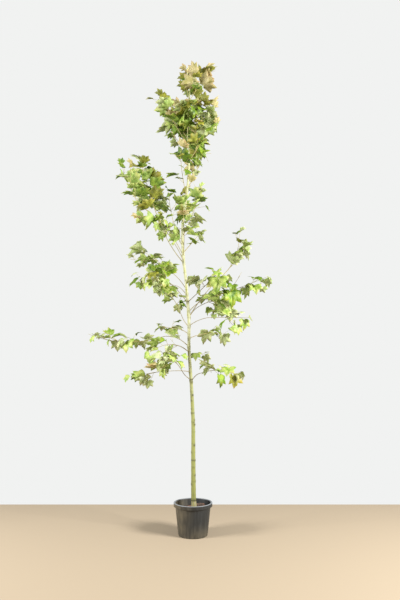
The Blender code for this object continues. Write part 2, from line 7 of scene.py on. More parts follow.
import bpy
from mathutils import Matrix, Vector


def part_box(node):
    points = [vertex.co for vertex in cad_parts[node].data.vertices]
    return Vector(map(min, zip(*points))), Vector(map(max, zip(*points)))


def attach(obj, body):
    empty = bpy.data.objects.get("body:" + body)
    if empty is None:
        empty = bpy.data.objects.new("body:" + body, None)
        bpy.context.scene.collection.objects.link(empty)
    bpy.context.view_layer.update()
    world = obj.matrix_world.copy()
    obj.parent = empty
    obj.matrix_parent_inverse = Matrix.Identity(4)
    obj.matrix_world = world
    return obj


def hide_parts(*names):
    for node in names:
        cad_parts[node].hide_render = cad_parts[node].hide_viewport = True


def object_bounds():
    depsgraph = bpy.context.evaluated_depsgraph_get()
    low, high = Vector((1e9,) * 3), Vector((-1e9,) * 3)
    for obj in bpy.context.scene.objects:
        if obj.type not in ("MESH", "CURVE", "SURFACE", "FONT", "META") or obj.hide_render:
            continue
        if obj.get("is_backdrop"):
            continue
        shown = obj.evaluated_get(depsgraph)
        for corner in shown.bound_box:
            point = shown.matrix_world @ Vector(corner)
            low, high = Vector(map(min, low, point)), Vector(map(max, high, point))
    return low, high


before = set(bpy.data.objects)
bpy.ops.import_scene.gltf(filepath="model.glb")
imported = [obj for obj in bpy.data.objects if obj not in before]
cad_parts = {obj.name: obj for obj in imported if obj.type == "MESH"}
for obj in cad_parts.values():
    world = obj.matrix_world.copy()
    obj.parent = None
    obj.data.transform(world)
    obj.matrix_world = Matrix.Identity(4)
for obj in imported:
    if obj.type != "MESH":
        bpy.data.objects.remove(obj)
cad_low, cad_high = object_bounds()
print("solids in the frame:", len(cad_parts))

# %% Modules for the rest of the lesson
import math
import random
from collections import namedtuple
from functools import partial

import bmesh
import bpy
import numpy as np
from mathutils import Matrix, Vector, noise

# %% [markdown]
# Two helpers serve every finish. Colours are chosen as sRGB hex values, the way a paint chart or an image
# editor gives them, but a shader's socket takes linear light, so one function turns one into the other. Nodes
# could be added in the editor one by one. Here one small function adds a node of any kind with its settings
# and feeds its inputs, so that a finish reads as a short list.

# %% Helpers for colours and nodes
# In a Mix of colours, inputs 0, 6 and 7 are the factor and the two colours, and output 2 is the mixture. In a
# Map Range, inputs 0 to 4 are the value, the range that it comes from and the range that it is given
COLOURS = {"data_type": "RGBA"}
SOFT_ENDS = {"interpolation_type": "SMOOTHSTEP"}


def linear(colour):
    """An sRGB hex colour as the linear numbers that a shader's socket takes."""
    shares = [int(colour[start:start + 2], 16) / 255 for start in (1, 3, 5)]
    return (*(s / 12.92 if s <= 0.04045 else ((s + 0.055) / 1.055) ** 2.4 for s in shares), 1)


def feed(node, inputs):
    """Feeds a node's inputs, by name or number: another node's output, a hex colour or a plain value."""
    for socket, value in inputs.items():
        if isinstance(value, bpy.types.NodeSocket):
            node.id_data.links.new(value, node.inputs[socket])
        else:
            node.inputs[socket].default_value = linear(value) if isinstance(value, str) else value


def add_node(tree, kind, inputs=None, **settings):
    """Adds a node with its settings, feeds its inputs and gives back its outputs."""
    node = tree.nodes.new("ShaderNode" + kind)
    for name, value in settings.items():
        setattr(node, name, value)
    feed(node, inputs or {})
    return node.outputs


def new_finish(name, inputs):
    """A material, its Principled shader, and a short way to add nodes to it."""
    finish = bpy.data.materials.new(name)
    finish.use_nodes = True
    shader = finish.node_tree.nodes["Principled BSDF"]
    feed(shader, inputs)
    return finish, shader, partial(add_node, finish.node_tree)


# %% Helpers for meshes and pieces
WELD = 0.00001


def placed(name, data):
    """A new object in the scene for a mesh, a curve, a lamp or a camera."""
    thing = bpy.data.objects.new(name, data)
    bpy.context.scene.collection.objects.link(thing)
    return thing


def add_piece(name, mesh, finishes, replaced=()):
    """Puts a finished mesh on the frame's one body, in place of the solids that it stands for."""
    mesh.name = name
    piece = placed(name, mesh)
    for finish in finishes:
        mesh.materials.append(finish)
    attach(piece, "root")
    if replaced:
        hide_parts(*replaced)
    print(name, "has", len(mesh.polygons), "faces")
    return piece


def soften(mesh, sharp):
    """Shades a mesh smooth, except over edges that turn by more than the sharp angle in degrees."""
    mesh.shade_smooth()
    mesh.set_sharp_from_angle(angle=math.radians(sharp))


def seal(shape):
    """Merges a shape's doubled points and turns its faces outwards."""
    bmesh.ops.remove_doubles(shape, verts=shape.verts, dist=WELD)
    bmesh.ops.recalc_face_normals(shape, faces=shape.faces)


def mesh_from(shape, sharp=None):
    """Turns a bmesh into a mesh, softened if a sharp angle is given."""
    mesh = bpy.data.meshes.new("shape")
    shape.to_mesh(mesh)
    shape.free()
    if sharp:
        soften(mesh, sharp)
    return mesh


def mesh_of(thing):
    """The mesh that an object's curve or modifiers come to. The object itself is removed."""
    graph = bpy.context.evaluated_depsgraph_get()
    mesh = bpy.data.meshes.new_from_object(thing.evaluated_get(graph))
    bpy.data.objects.remove(thing)
    return mesh


# %% [markdown]
# The camera stands level at chest height, 3.4 m in front of the pot, with a 28 mm lens. It isn't tilted up at
# the crown, because that would make the upright trunk lean. Its lens is shifted upwards instead, as a
# photographer of buildings does, so the eye level lies below the middle of the picture.

# %% The camera
CAMERA_PLACE = (0.0507, -3.377, 1.04)
LENS_MM = 28
PICTURE_HEIGHT = 600
EYE_LEVEL_ROW = 391

camera_data = bpy.data.cameras.new("camera")
camera_data.lens = LENS_MM
camera_data.shift_y = (EYE_LEVEL_ROW - PICTURE_HEIGHT / 2) / PICTURE_HEIGHT
camera = placed("camera", camera_data)
camera.location = CAMERA_PLACE
camera.rotation_euler = (math.radians(90), 0, 0)
bpy.context.scene.camera = camera
print("lens shift:", round(camera_data.shift_y, 4))

# %% [markdown]
# The light is a bright, nearly white studio with a large soft light on each side, the right one stronger. The
# pale backdrop is the world itself. If it also gave all the light, leaves would look flat, so it lights the
# plant at two fifths of its strength: the Light Path node tells what the camera sees from what lights the
# scene. The plain view transform keeps the colours as they are chosen. The floor is one pale board that ends
# behind the pot, so that the pot has something to stand on and to throw a soft shadow on.

# %% The world and the lights
WORLD_COLOUR = "#F1F2F1"
WORLD_LIGHT = 0.41
LIGHT_WIDTH = 1.4

bpy.context.scene.view_settings.view_transform = "Standard"
world = bpy.data.worlds.new("studio")
world.use_nodes = True
studio = world.node_tree
seen = studio.nodes["Background"]
feed(seen, {"Color": WORLD_COLOUR})
lighting = add_node(studio, "Background", {"Color": WORLD_COLOUR, "Strength": WORLD_LIGHT})
to_camera = add_node(studio, "LightPath")["Is Camera Ray"]
both = add_node(studio, "MixShader", {0: to_camera, 1: lighting[0], 2: seen.outputs[0]})
feed(studio.nodes["World Output"], {"Surface": both[0]})
bpy.context.scene.world = world


def add_soft_light(name, place, aim, power):
    """A square soft light that looks from its place at its aim."""
    lamp = bpy.data.lights.new(name, "AREA")
    lamp.size = LIGHT_WIDTH
    lamp.energy = power
    holder = placed(name, lamp)
    holder.location = place
    holder.rotation_euler = (Vector(aim) - Vector(place)).to_track_quat("-Z", "Y").to_euler()


add_soft_light("right_light", (3.6, -2.2, 2.9), (0, 0, 1.9), 490)
add_soft_light("left_light", (-3.8, -1.6, 2.4), (0, 0, 1.8), 300)
print("lights:", len(bpy.data.lights), "and the world at", WORLD_LIGHT)

# %% The floor
FLOOR_COLOUR = "#A3937C"
FLOOR_WIDTH, FLOOR_FRONT, FLOOR_BACK = 12, -6, 0.9

floor_shape = bmesh.new()
bmesh.ops.create_grid(floor_shape, x_segments=1, y_segments=1, size=0.5)
bmesh.ops.scale(floor_shape, vec=(FLOOR_WIDTH, FLOOR_BACK - FLOOR_FRONT, 1), verts=floor_shape.verts)
bmesh.ops.translate(floor_shape, vec=(0, (FLOOR_BACK + FLOOR_FRONT) / 2, 0), verts=floor_shape.verts)
floor = placed("floor", mesh_from(floor_shape))
floor_paint = new_finish("matte_floor_paint", {"Roughness": 0.8, "Base Color": FLOOR_COLOUR})[0]
floor.data.materials.append(floor_paint)
floor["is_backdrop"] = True
print("floor:", FLOOR_WIDTH, "m wide and", FLOOR_BACK - FLOOR_FRONT, "m deep")

# %% [markdown]
# The tree grows by one rule. A limb sets out from the trunk by an azimuth and a rise, and bends evenly as it
# goes. Its first stretch is the bare bough, and the rest is the stem of a mass of leaves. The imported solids
# follow the same rule from the same sizes, so limbs made again here lie inside them. Writing the rule down
# needs one row of plain sizes for each limb, and no list of points.

# %% Sizes of the trunk and of each limb
COMPOST_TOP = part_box("compost")[1].z

# Trunk: x, y, height and diameter from the flat cut on the compost to the tip
TRUNK_KNOTS = (
    (0.007, 0.000, COMPOST_TOP + 0.0003, 0.044),
    (0.007, 0.000, 0.200, 0.041),
    (0.007, 0.000, 0.225, 0.037),
    (0.004, 0.001, 0.280, 0.035),
    (0.002, 0.003, 0.540, 0.031),
    (0.001, 0.004, 0.800, 0.027),
    (-0.010, 0.002, 1.050, 0.024),
    (-0.028, -0.006, 1.340, 0.022),
    (-0.030, -0.010, 1.550, 0.0215),
    (-0.048, -0.006, 1.800, 0.0205),
    (-0.070, 0.003, 2.020, 0.0195),
    (-0.076, 0.006, 2.240, 0.018),
    (-0.048, 0.004, 2.440, 0.016),
    (-0.028, -0.002, 2.700, 0.013),
    (-0.038, -0.004, 2.880, 0.010),
    (-0.026, 0.001, 3.140, 0.0075),
    (-0.020, 0.003, 3.340, 0.0045),
)

# One row a limb. name; height on the trunk; azimuth and rise in degrees; length of the bare bough and how
# many degrees its rise turns; length of the stem in the leaves and how its rise turns; turn of the azimuth;
# diameter at the root; length of a leaf in mm; leaves; side twigs; radius of the mass's own space; seed of
# its twigs; seed of its leaves; how full of leaves it is; seed of its leaves' tones
Limb = namedtuple(
    "Limb",
    "name height azimuth rise bare lift stem droop turn width leaf leaves twigs reach seed draw full tint",
)
LIMB_ROWS = (
    ("low_right", 1.11, -55, 45, 0.16, -45, 0.3, -30, 15, 0.008, 88, 8, 1, 0.15, 9, 769, 0.6, 1702),
    ("low_front", 1.12, -120, 15, 0.2, 20, 0.24, -40, 25, 0.008, 85, 7, 1, 0.15, 6, 1173, 0.9, 2732),
    ("low_left_front", 1.18, -135, 5, 0.18, -10, 0.3, -15, -20, 0.008, 96, 7, 1, 0.16, 42, 486, 0.45, 2871),
    ("low_left_mid", 1.32, -130, 30, 0, 0, 0.34, -60, -10, 0.007, 94, 7, 1, 0.16, 20, 415, 0.6, 462),
    ("low_left", 1.36, 175, 50, 0.28, -75, 0.5, 35, 0, 0.008, 88, 12, 2, 0.15, 51, 584, 0.75, 923),
    ("low_left_back", 1.45, 125, 30, 0.2, -25, 0.26, 0, -10, 0.008, 80, 7, 1, 0.14, 30, 564, 0.45, 188),
    ("low_back", 1.42, 55, 20, 0.2, -10, 0.32, -15, 10, 0.008, 84, 8, 1, 0.15, 30, 391, 0.6, 275),
    ("right_low", 1.51, -30, 30, 0.24, -40, 0.23, -5, -10, 0.007, 84, 7, 1, 0.14, 46, 349, 0.6, 1044),
    ("mid_left_back", 1.5, 125, 35, 0.2, 20, 0.31, -30, -20, 0.008, 82, 8, 1, 0.15, 2, 900, 0.45, 2121),
    ("right_back", 1.57, 55, 50, 0.21, -30, 0.33, -45, -10, 0.008, 86, 9, 2, 0.16, 22, 251, 1.25, 1841),
    ("right_outer", 1.61, -5, 50, 0.23, -40, 0.38, 5, 0, 0.008, 86, 12, 2, 0.16, 47, 108, 0.45, 1180),
    ("mid_left_front", 1.68, -115, 20, 0.17, 5, 0.26, -35, -15, 0.008, 86, 8, 2, 0.16, 50, 575, 1.25, 814),
    ("right_front", 1.68, -55, 20, 0.18, -5, 0.26, -5, -15, 0.008, 88, 8, 2, 0.16, 9, 133, 0.6, 2185),
    ("mid_left_low", 1.73, 160, 60, 0.18, -55, 0.24, -5, 10, 0.007, 84, 7, 1, 0.14, 5, 876, 0.45, 74),
    ("right_upper", 1.57, 10, 60, 0.45, -20, 0.38, 45, 45, 0.009, 80, 12, 2, 0.15, 3, 366, 0.45, 369),
    ("mid_left_high", 1.77, 140, 55, 0.23, -20, 0.38, -5, 10, 0.008, 88, 11, 2, 0.16, 15, 776, 0.75, 2359),
    ("high_left_front", 1.97, -120, 50, 0.19, -15, 0.28, -10, -25, 0.008, 82, 8, 2, 0.15, 57, 15, 0.9, 1337),
    ("high_left", 1.96, 165, 50, 0.43, 20, 0.46, 5, -25, 0.009, 80, 12, 2, 0.15, 54, 335, 1.25, 2317),
    ("high_left_outer", 2.02, -175, 65, 0.4, -30, 0.36, 40, 15, 0.008, 80, 11, 2, 0.15, 40, 858, 0.45, 17),
    ("high_left_inner", 2.08, 130, 55, 0.26, 10, 0.28, 15, -20, 0.007, 80, 8, 1, 0.14, 4, 522, 0.45, 292),
    ("mid_front", 2.02, -85, 20, 0, 0, 0.35, 5, -5, 0.006, 76, 6, 1, 0.13, 14, 510, 0.45, 2431),
    ("mid_back", 2.19, 85, 40, 0, 0, 0.5, 25, 15, 0.006, 76, 8, 1, 0.14, 56, 1285, 0.6, 1101),
    ("mid_right", 2.16, -45, 45, 0, 0, 0.34, 10, -20, 0.006, 80, 7, 1, 0.13, 1, 220, 1.05, 653),
    ("mid_right_back", 2.04, 50, 45, 0, 0, 0.28, 0, 0, 0.006, 80, 5, 0, 0.13, 23, 324, 0.45, 0),
    ("trunk_tuft", 1.3, -40, 10, 0, 0, 0.14, -20, 0, 0.004, 60, 4, 0, 0.11, 32, 1212, 0.45, 10),
    ("upper_mid_left", 2.45, -110, 50, 0, 0, 0.3, -10, 20, 0.005, 74, 7, 0, 0.13, 21, 552, 0.45, 2202),
    ("upper_mid_right", 2.51, 50, 50, 0, 0, 0.38, 25, 5, 0.006, 76, 8, 1, 0.13, 49, 624, 0.45, 1313),
    ("upper_back", 2.71, 65, 45, 0, 0, 0.4, 15, 10, 0.006, 76, 7, 1, 0.13, 2, 111, 0.9, 2532),
    ("upper_left_low", 2.77, 135, 50, 0, 0, 0.32, -10, 0, 0.005, 64, 7, 1, 0.12, 36, 1261, 0.6, 671),
    ("upper_left_back", 2.86, 120, 50, 0, 0, 0.3, 5, 15, 0.005, 72, 7, 0, 0.13, 46, 1109, 1.25, 1146),
    ("upper_right", 2.81, -40, 50, 0, 0, 0.3, -15, 5, 0.005, 78, 7, 1, 0.13, 48, 1109, 1.25, 688),
    ("upper_right_low", 2.7, -30, 50, 0, 0, 0.3, -15, 0, 0.005, 76, 7, 1, 0.13, 3, 1273, 0.6, 1263),
    ("upper_left", 2.82, -165, 50, 0, 0, 0.38, 20, -5, 0.005, 74, 8, 1, 0.13, 43, 223, 0.6, 878),
    ("upper_front", 2.89, -85, 35, 0, 0, 0.2, 0, -5, 0.005, 72, 6, 0, 0.12, 11, 255, 0.9, 2611),
    ("top_right", 3.14, -30, 40, 0, 0, 0.22, 20, -10, 0.0045, 74, 8, 1, 0.13, 11, 54, 0.45, 1380),
    ("top_left", 3.14, 120, 65, 0, 0, 0.29, 15, -20, 0.0045, 76, 8, 1, 0.13, 24, 667, 0.6, 1604),
)
LIMBS = [Limb(*row) for row in LIMB_ROWS]
print("limbs:", len(LIMBS), "of which with a bare bough:", sum(limb.bare > 0 for limb in LIMBS))


# %% Directions and smooth curves
def heading(azimuth, rise):
    """The unit direction with an azimuth and a rise in degrees."""
    around, up = math.radians(azimuth), math.radians(rise)
    return Vector((math.cos(up) * math.cos(around), math.cos(up) * math.sin(around), math.sin(up)))


def angles_of(direction):
    """The azimuth and rise of a direction, in degrees."""
    level = math.hypot(direction.x, direction.y)
    return math.degrees(math.atan2(direction.y, direction.x)), math.degrees(math.atan2(direction.z, level))


def between(low, high, share):
    return low + (high - low) * share


def bend_through(a, b, c, d, t):
    """A number on the smooth curve from b to c that comes from a and goes on to d."""
    square = 2 * a - 5 * b + 4 * c - d
    cube = 3 * b - a - 3 * c + d
    return 0.5 * (2 * b + (c - a) * t + square * t ** 2 + cube * t ** 3)


def smooth_route(knots, steps):
    """Rows of numbers on a smooth curve through the knots."""
    rows = [knots[0], *knots, knots[-1]]
    route = []
    for before, here, after, beyond in zip(rows, rows[1:], rows[2:], rows[3:]):
        for step in range(steps):
            columns = zip(before, here, after, beyond)
            route.append([bend_through(*column, step / steps) for column in columns])
    route.append(list(knots[-1]))
    return route


# %% Points along the trunk and along a limb
LIMB_STEP = 0.09
TRUNK = smooth_route(TRUNK_KNOTS, 2)


def trunk_at(height):
    """The middle of the trunk at a height."""
    for low, high in zip(TRUNK, TRUNK[1:]):
        if low[2] <= height <= high[2]:
            share = (height - low[2]) / (high[2] - low[2])
            return Vector(between(a, b, share) for a, b in zip(low[:3], high[:3]))
    raise ValueError("no trunk at this height")


def sweep(start, azimuth, rise, length, turn, lift):
    """Points of a limb that sets out by azimuth and rise and bends evenly by turn and lift."""
    steps = max(2, round(length / LIMB_STEP))
    points = [Vector(start)]
    for step in range(steps):
        share = (step + 0.5) / steps
        points.append(points[-1] + heading(azimuth + turn * share, rise + lift * share) * length / steps)
    return points


def place_on(points, share):
    """The point and direction at a share of a shoot's length."""
    reach = share * (len(points) - 1)
    index = min(int(reach), len(points) - 2)
    low, high = points[index], points[index + 1]
    return low.lerp(high, reach - index), (high - low).normalized()


def taper(points, thick, thin):
    return [between(thick, thin, index / (len(points) - 1)) for index in range(len(points))]


print("the trunk leans", round((trunk_at(3.3) - trunk_at(0.3)).x * 1000), "mm to the side over 3 m")

# %% [markdown]
# A limb's bough and stem are one living shoot, so they share one smooth curve here and are parted only where
# the bough enters its leaves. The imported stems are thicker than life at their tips. Here they thin down to
# the 2 mm of a real young shoot.

# %% Boughs and stems
BOUGH_TAPER = 0.62
SHOOT_TIP = 0.0021
ROUTE_STEPS = 4

Shoot = namedtuple("Shoot", "points widths")


def smooth_shoot(points, widths, steps):
    """A shoot on one smooth curve through points with their widths."""
    route = smooth_route([(*point, width) for point, width in zip(points, widths)], steps)
    return Shoot([Vector(row[:3]) for row in route], [row[3] for row in route])


def grow_limb(limb):
    """The limb's bough, or None where leaves begin at the trunk, and its stem, both on one smooth curve."""
    share = limb.bare / (limb.bare + limb.stem)
    bough = []
    start, azimuth, rise, joint = trunk_at(limb.height), limb.azimuth, limb.rise, limb.width
    if limb.bare:
        bough = sweep(start, azimuth, rise, limb.bare, limb.turn * share, limb.lift)
        azimuth, rise = angles_of(bough[-1] - bough[-2])
        start, joint = bough[-1], limb.width * BOUGH_TAPER
    stem = sweep(start, azimuth, rise, limb.stem, limb.turn * (1 - share), limb.droop)
    widths = taper(bough, limb.width, joint)[:-1] + taper(stem, joint, SHOOT_TIP)
    points, widths = smooth_shoot(bough[:-1] + stem, widths, ROUTE_STEPS)
    parting = max(0, len(bough) - 1) * ROUTE_STEPS
    bare = Shoot(points[:parting + 1], widths[:parting + 1]) if bough else None
    return bare, Shoot(points[parting:], widths[parting:])


boughs, stems = {}, {}
for limb in LIMBS:
    bough, stems[limb.name] = grow_limb(limb)
    if bough:
        boughs[limb.name] = bough
print("stems:", len(stems), "boughs:", len(boughs))

# %% [markdown]
# Side twigs leave a stem on alternate sides, by the same seeded draws as in the solids. The real tree goes
# finer: from stems and side twigs alike grow short spurs a few centimetres long, and these carry most of the
# leaves. The same rule makes them, one step further.

# %% Side twigs and spurs
TWIG_PLACES = (0.12, 0.62)
TWIG_SWING = 60
TWIG_LEAN = (38, 60)
TWIG_LENGTH = (0.36, 0.55)
TWIG_TURN = 20
TWIG_LIFT = (-10, 30)
TWIG_WIDTH = 0.0034
SPUR_SPACING = 0.085
SPUR_LENGTH = (0.035, 0.095)
SPUR_WIDTH = 0.0024
SPUR_TIP = 0.0016
LAST_SPUR = 0.95
SPUR_STAGGER = (0.2, 0.8)
SPUR_SEEDS = 500


def side_direction(along, spin, spread):
    """A direction that leaves along by the spread angle, at the spin angle round it."""
    side = along.orthogonal().normalized()
    level = along.cross(Vector((0, 0, 1)))
    # A shoot that goes nearly straight up has no level side
    if level.length > 0.05:
        side = level.normalized()
    side = Matrix.Rotation(math.radians(spin), 3, along) @ side
    tilt = math.radians(spread)
    return (along * math.cos(tilt) + side * math.sin(tilt)).normalized()


def side_route(shoot, share, order, scale, lengths, draw):
    """Points of a side shoot that leaves a shoot at a share of its length, leans forward and bends."""
    foot, along = place_on(shoot.points, share)
    spin = order * 180 + draw.uniform(-TWIG_SWING, TWIG_SWING)
    azimuth, rise = angles_of(side_direction(along, spin, draw.uniform(*TWIG_LEAN)))
    length = scale * draw.uniform(*lengths)
    turn = draw.uniform(-TWIG_TURN, TWIG_TURN)
    return sweep(foot, azimuth, rise, length, turn, draw.uniform(*TWIG_LIFT))


def length_of(points):
    return sum((high - low).length for low, high in zip(points, points[1:]))


def twigs_of(limb, stem, draw):
    """Side twigs at even places on the stem, on alternate sides."""
    twigs = []
    for order in range(limb.twigs):
        share = between(*TWIG_PLACES, (order + 0.5) / limb.twigs)
        knots = side_route(stem, share, order, limb.stem, TWIG_LENGTH, draw)
        points = [Vector(row) for row in smooth_route(knots, ROUTE_STEPS)]
        twigs.append(Shoot(points, taper(points, TWIG_WIDTH, SHOOT_TIP)))
    return twigs


def spurs_of(shoot, first, draw):
    """Short spurs all along a shoot from the first share of it, on alternate sides."""
    spurs = []
    count = max(1, round(length_of(shoot.points) * (1 - first) / SPUR_SPACING))
    for order in range(count):
        share = between(first, LAST_SPUR, (order + draw.uniform(*SPUR_STAGGER)) / count)
        points = side_route(shoot, share, order, 1, SPUR_LENGTH, draw)
        spurs.append(Shoot(points, taper(points, SPUR_WIDTH, SPUR_TIP)))
    return spurs


# %% Grow the twigs and spurs
FIRST_ON_TRUNK = 0.25
FIRST_LEAF = 0.08
shoots = {}
for limb in LIMBS:
    stem = stems[limb.name]
    twigs = twigs_of(limb, stem, random.Random(limb.seed))
    draw = random.Random(limb.seed + SPUR_SEEDS)
    spurs = spurs_of(stem, FIRST_LEAF if limb.bare else FIRST_ON_TRUNK, draw)
    for twig in twigs:
        spurs += spurs_of(twig, FIRST_LEAF, draw)
    shoots[limb.name] = [stem, *twigs, *spurs]
print("shoots in the leaves:", sum(len(group) for group in shoots.values()))

# %% [markdown]
# Leaves stand one by one along a shoot, each a golden angle on from the last. A leaf is a stalk of a few
# centimetres and a blade that hangs outwards from it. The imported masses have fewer, thicker leaves. This step
# asks for about twice as many, at their real size and thickness, and keeps each one in its mass's own space.
# A real limb is leafy or sparse by chance, so each row of the table has its own fullness and its own draw.

# %% Where the leaves grow
MORE_LEAVES = (2.2, 3.6)
LEAF_SCALE = (0.98, 1.36)
LEAF_SIZES = (0.60, 1.30)
TIP_LEAF = 0.66
LAST_LEAF = 0.98
GOLDEN_ANGLE = 137.5
LEAF_SWING = 50
STALK_SHARE = (0.90, 0.55)
STALK_SIZES = (0.55, 1.15)
STALK_LEAN = (68, 25)
STALK_LIFT = 0.15
BLADE_TURN = 35
BLADE_DROP = (20, 75)
BLADE_DROP_AT_TOP = (-15, 55)
BLADE_ROLL = 35
STEEPEST = -78
BLADE_FOLD = (0.08, 0.62)
BLADE_SAG = (-0.10, 0.42)
BLADE_TWIST = 0.40
BLADE_WAVE = (0.03, 0.12)
TRIES = 14
CLEAR_OF_OTHERS = (0.72, 0.52)
ROOM_AT_TOP = 0.022
SIDE_LOBES = (0.65, 0.7)

# youth runs from 0 on old wood near the trunk to 1 at a young tip
Leaf = namedtuple("Leaf", "foot joint axis face length fold sag twist wave phase youth spray")


def leaf_on(limb, shoot, share, order, draw):
    """One leaf on its stalk, alternate with its neighbours, its blade hanging outwards."""
    foot, along = place_on(shoot.points, share)
    upness = (foot.z / cad_high.z) ** 2
    spin = order * GOLDEN_ANGLE + draw.uniform(-LEAF_SWING, LEAF_SWING)
    length = limb.leaf / 1000 * between(*LEAF_SCALE, upness) * between(1.0, TIP_LEAF, share)
    length *= draw.uniform(*LEAF_SIZES)
    stalk = side_direction(along, spin, between(*STALK_LEAN, share)) + Vector((0, 0, STALK_LIFT))
    joint = foot + stalk.normalized() * length * between(*STALK_SHARE, upness) * draw.uniform(*STALK_SIZES)
    azimuth, rise = angles_of(stalk)
    azimuth += draw.uniform(-BLADE_TURN, BLADE_TURN)
    rise -= between(draw.uniform(*BLADE_DROP), draw.uniform(*BLADE_DROP_AT_TOP), upness)
    axis = heading(azimuth, max(STEEPEST, rise))
    face = (Vector((0, 0, 1)) - axis * axis.z).normalized()
    face = Matrix.Rotation(math.radians(draw.uniform(-BLADE_ROLL, BLADE_ROLL)), 3, axis) @ face
    fold, sag = draw.uniform(*BLADE_FOLD), draw.uniform(*BLADE_SAG)
    twist, wave = draw.uniform(-BLADE_TWIST, BLADE_TWIST), draw.uniform(*BLADE_WAVE)
    return Leaf(foot, joint, axis, face, length, fold, sag, twist, wave, draw.uniform(0, math.tau), share, 0)


# %% Room for each leaf
def distance_to(points, place):
    """How far a place is from a shoot."""
    distances = []
    for low, high in zip(points, points[1:]):
        along = high - low
        share = (place - low).dot(along) / along.length_squared
        distances.append((place - low - along * min(1.0, max(0.0, share))).length)
    return min(distances)


def keeps_to_space(limb, leaf):
    """Whether a leaf's tip and sides stay in its mass's space and in the model's box."""
    ahead = leaf.axis * SIDE_LOBES[0]
    across = leaf.face.cross(leaf.axis) * SIDE_LOBES[1]
    high_corner = (cad_high.x, cad_high.y, cad_high.z - ROOM_AT_TOP)
    for corner in [leaf.joint + way * leaf.length for way in (leaf.axis, ahead + across, ahead - across)]:
        if distance_to(stems[limb.name].points, corner) > limb.reach:
            return False
        if any(not low < value < high for low, value, high in zip(cad_low, corner, high_corner)):
            return False
    return True


def stands_clear(leaf, others):
    """Whether a blade's middle is far enough from those of its neighbours, so that each gets its light."""
    apart = between(*CLEAR_OF_OTHERS, (leaf.joint.z / cad_high.z) ** 2)
    middle = leaf.joint + leaf.axis * leaf.length / 2
    for other in others:
        if (other.joint + other.axis * other.length / 2 - middle).length < apart * leaf.length:
            return False
    return True


# %% Grow the leaves
def grow_leaves(limb):
    """The leaves of a mass, shared out over its shoots by their length."""
    draw = random.Random(limb.draw)
    group = shoots[limb.name]
    whole = sum(length_of(shoot.points) for shoot in group)
    leaves = []
    for spray, shoot in enumerate(group):
        more = limb.full * between(*MORE_LEAVES, (group[0].points[-1].z / cad_high.z) ** 2)
        count = max(1, round(limb.leaves * more * length_of(shoot.points) / whole))
        first = FIRST_ON_TRUNK if shoot is group[0] and not limb.bare else FIRST_LEAF
        for order in range(count):
            share = min(LAST_LEAF, between(first, LAST_LEAF, (order + 0.5) / max(1, count - 0.5)))
            for _ in range(TRIES):
                leaf = leaf_on(limb, shoot, share, order, draw)
                if keeps_to_space(limb, leaf) and stands_clear(leaf, leaves):
                    leaves.append(leaf._replace(spray=spray))
                    break
    return leaves


leaves = {limb.name: grow_leaves(limb) for limb in LIMBS}
print("leaves:", sum(len(group) for group in leaves.values()))

# %% [markdown]
# A plane leaf has five pointed lobes, with a few coarse teeth between broad bays, and its veins run out from
# one joint at the foot of the blade. One leaf is modelled: a ring of points round the joint is moved out to
# the lobes, then drawn inwards twice to give the blade a middle ring to bend along. All the others are copies
# of its points, placed by arrays and joined, because hundreds of objects would be slow to render and to
# export.


# %% Helpers to draw out a ring and to copy a shape many times
def drawn_ring(shape, edges):
    """Extrudes a ring of edges, and gives back the new ring's vertices and its edges."""
    drawn = bmesh.ops.extrude_edge_only(shape, edges=edges)["geom"]
    ring = [item for item in drawn if isinstance(item, bmesh.types.BMVert)]
    return ring, [item for item in drawn if isinstance(item, bmesh.types.BMEdge)]


def points_and_faces(shape):
    """A shape's points and faces as plain numbers. The shape itself is freed."""
    shape.verts.index_update()
    points = np.array([corner.co for corner in shape.verts])
    faces = [[corner.index for corner in face.verts] for face in shape.faces]
    shape.free()
    return points, faces


def copies_mesh(copies, faces):
    """One mesh of many copies of a shape, from each copy's points and the faces that they all have."""
    count = len(copies[0])
    corners = [[corner + count * order for corner in face] for order in range(len(copies)) for face in faces]
    mesh = bpy.data.meshes.new("copies")
    mesh.from_pydata(np.concatenate(copies).tolist(), [], corners)
    return mesh


# %% One flat leaf
# Angle from the tip's direction and reach from the joint, for half of the outline
HALF_OUTLINE = (
    (0, 1.00), (8, 0.84), (16, 0.80), (26, 0.61), (35, 0.74), (46, 0.95), (57, 0.76), (69, 0.60),
    (81, 0.68), (97, 0.74), (116, 0.48), (150, 0.29),
)
MIDDLE_RING = 0.52


def flat_leaf():
    """The blade one unit long, its joint at the origin and its tip on +X."""
    outline = [(-angle, reach) for angle, reach in HALF_OUTLINE[:0:-1]] + list(HALF_OUTLINE) + [(180, 0.08)]
    shape = bmesh.new()
    bmesh.ops.create_circle(shape, segments=len(outline), radius=1)
    corners = sorted(shape.verts, key=lambda corner: math.atan2(corner.co.y, corner.co.x))
    for corner, (angle, reach) in zip(corners, outline):
        around = math.radians(angle)
        corner.co = (reach * math.cos(around), reach * math.sin(around), 0)
    edges = list(shape.edges)
    for size in (MIDDLE_RING, 0):
        ring, edges = drawn_ring(shape, edges)
        bmesh.ops.scale(shape, vec=(size, size, 1), verts=ring)
    seal(shape)
    if sum(face.normal.z for face in shape.faces) < 0:
        bmesh.ops.reverse_faces(shape, faces=shape.faces)
    points, faces = points_and_faces(shape)
    return points[:, :2], faces


leaf_points, leaf_faces = flat_leaf()
print("one leaf:", len(leaf_points), "points and", len(leaf_faces), "faces")

# %% Many leaves in one mesh
PLEAT = 0.035
PLEATS = 4
WAVES = 3


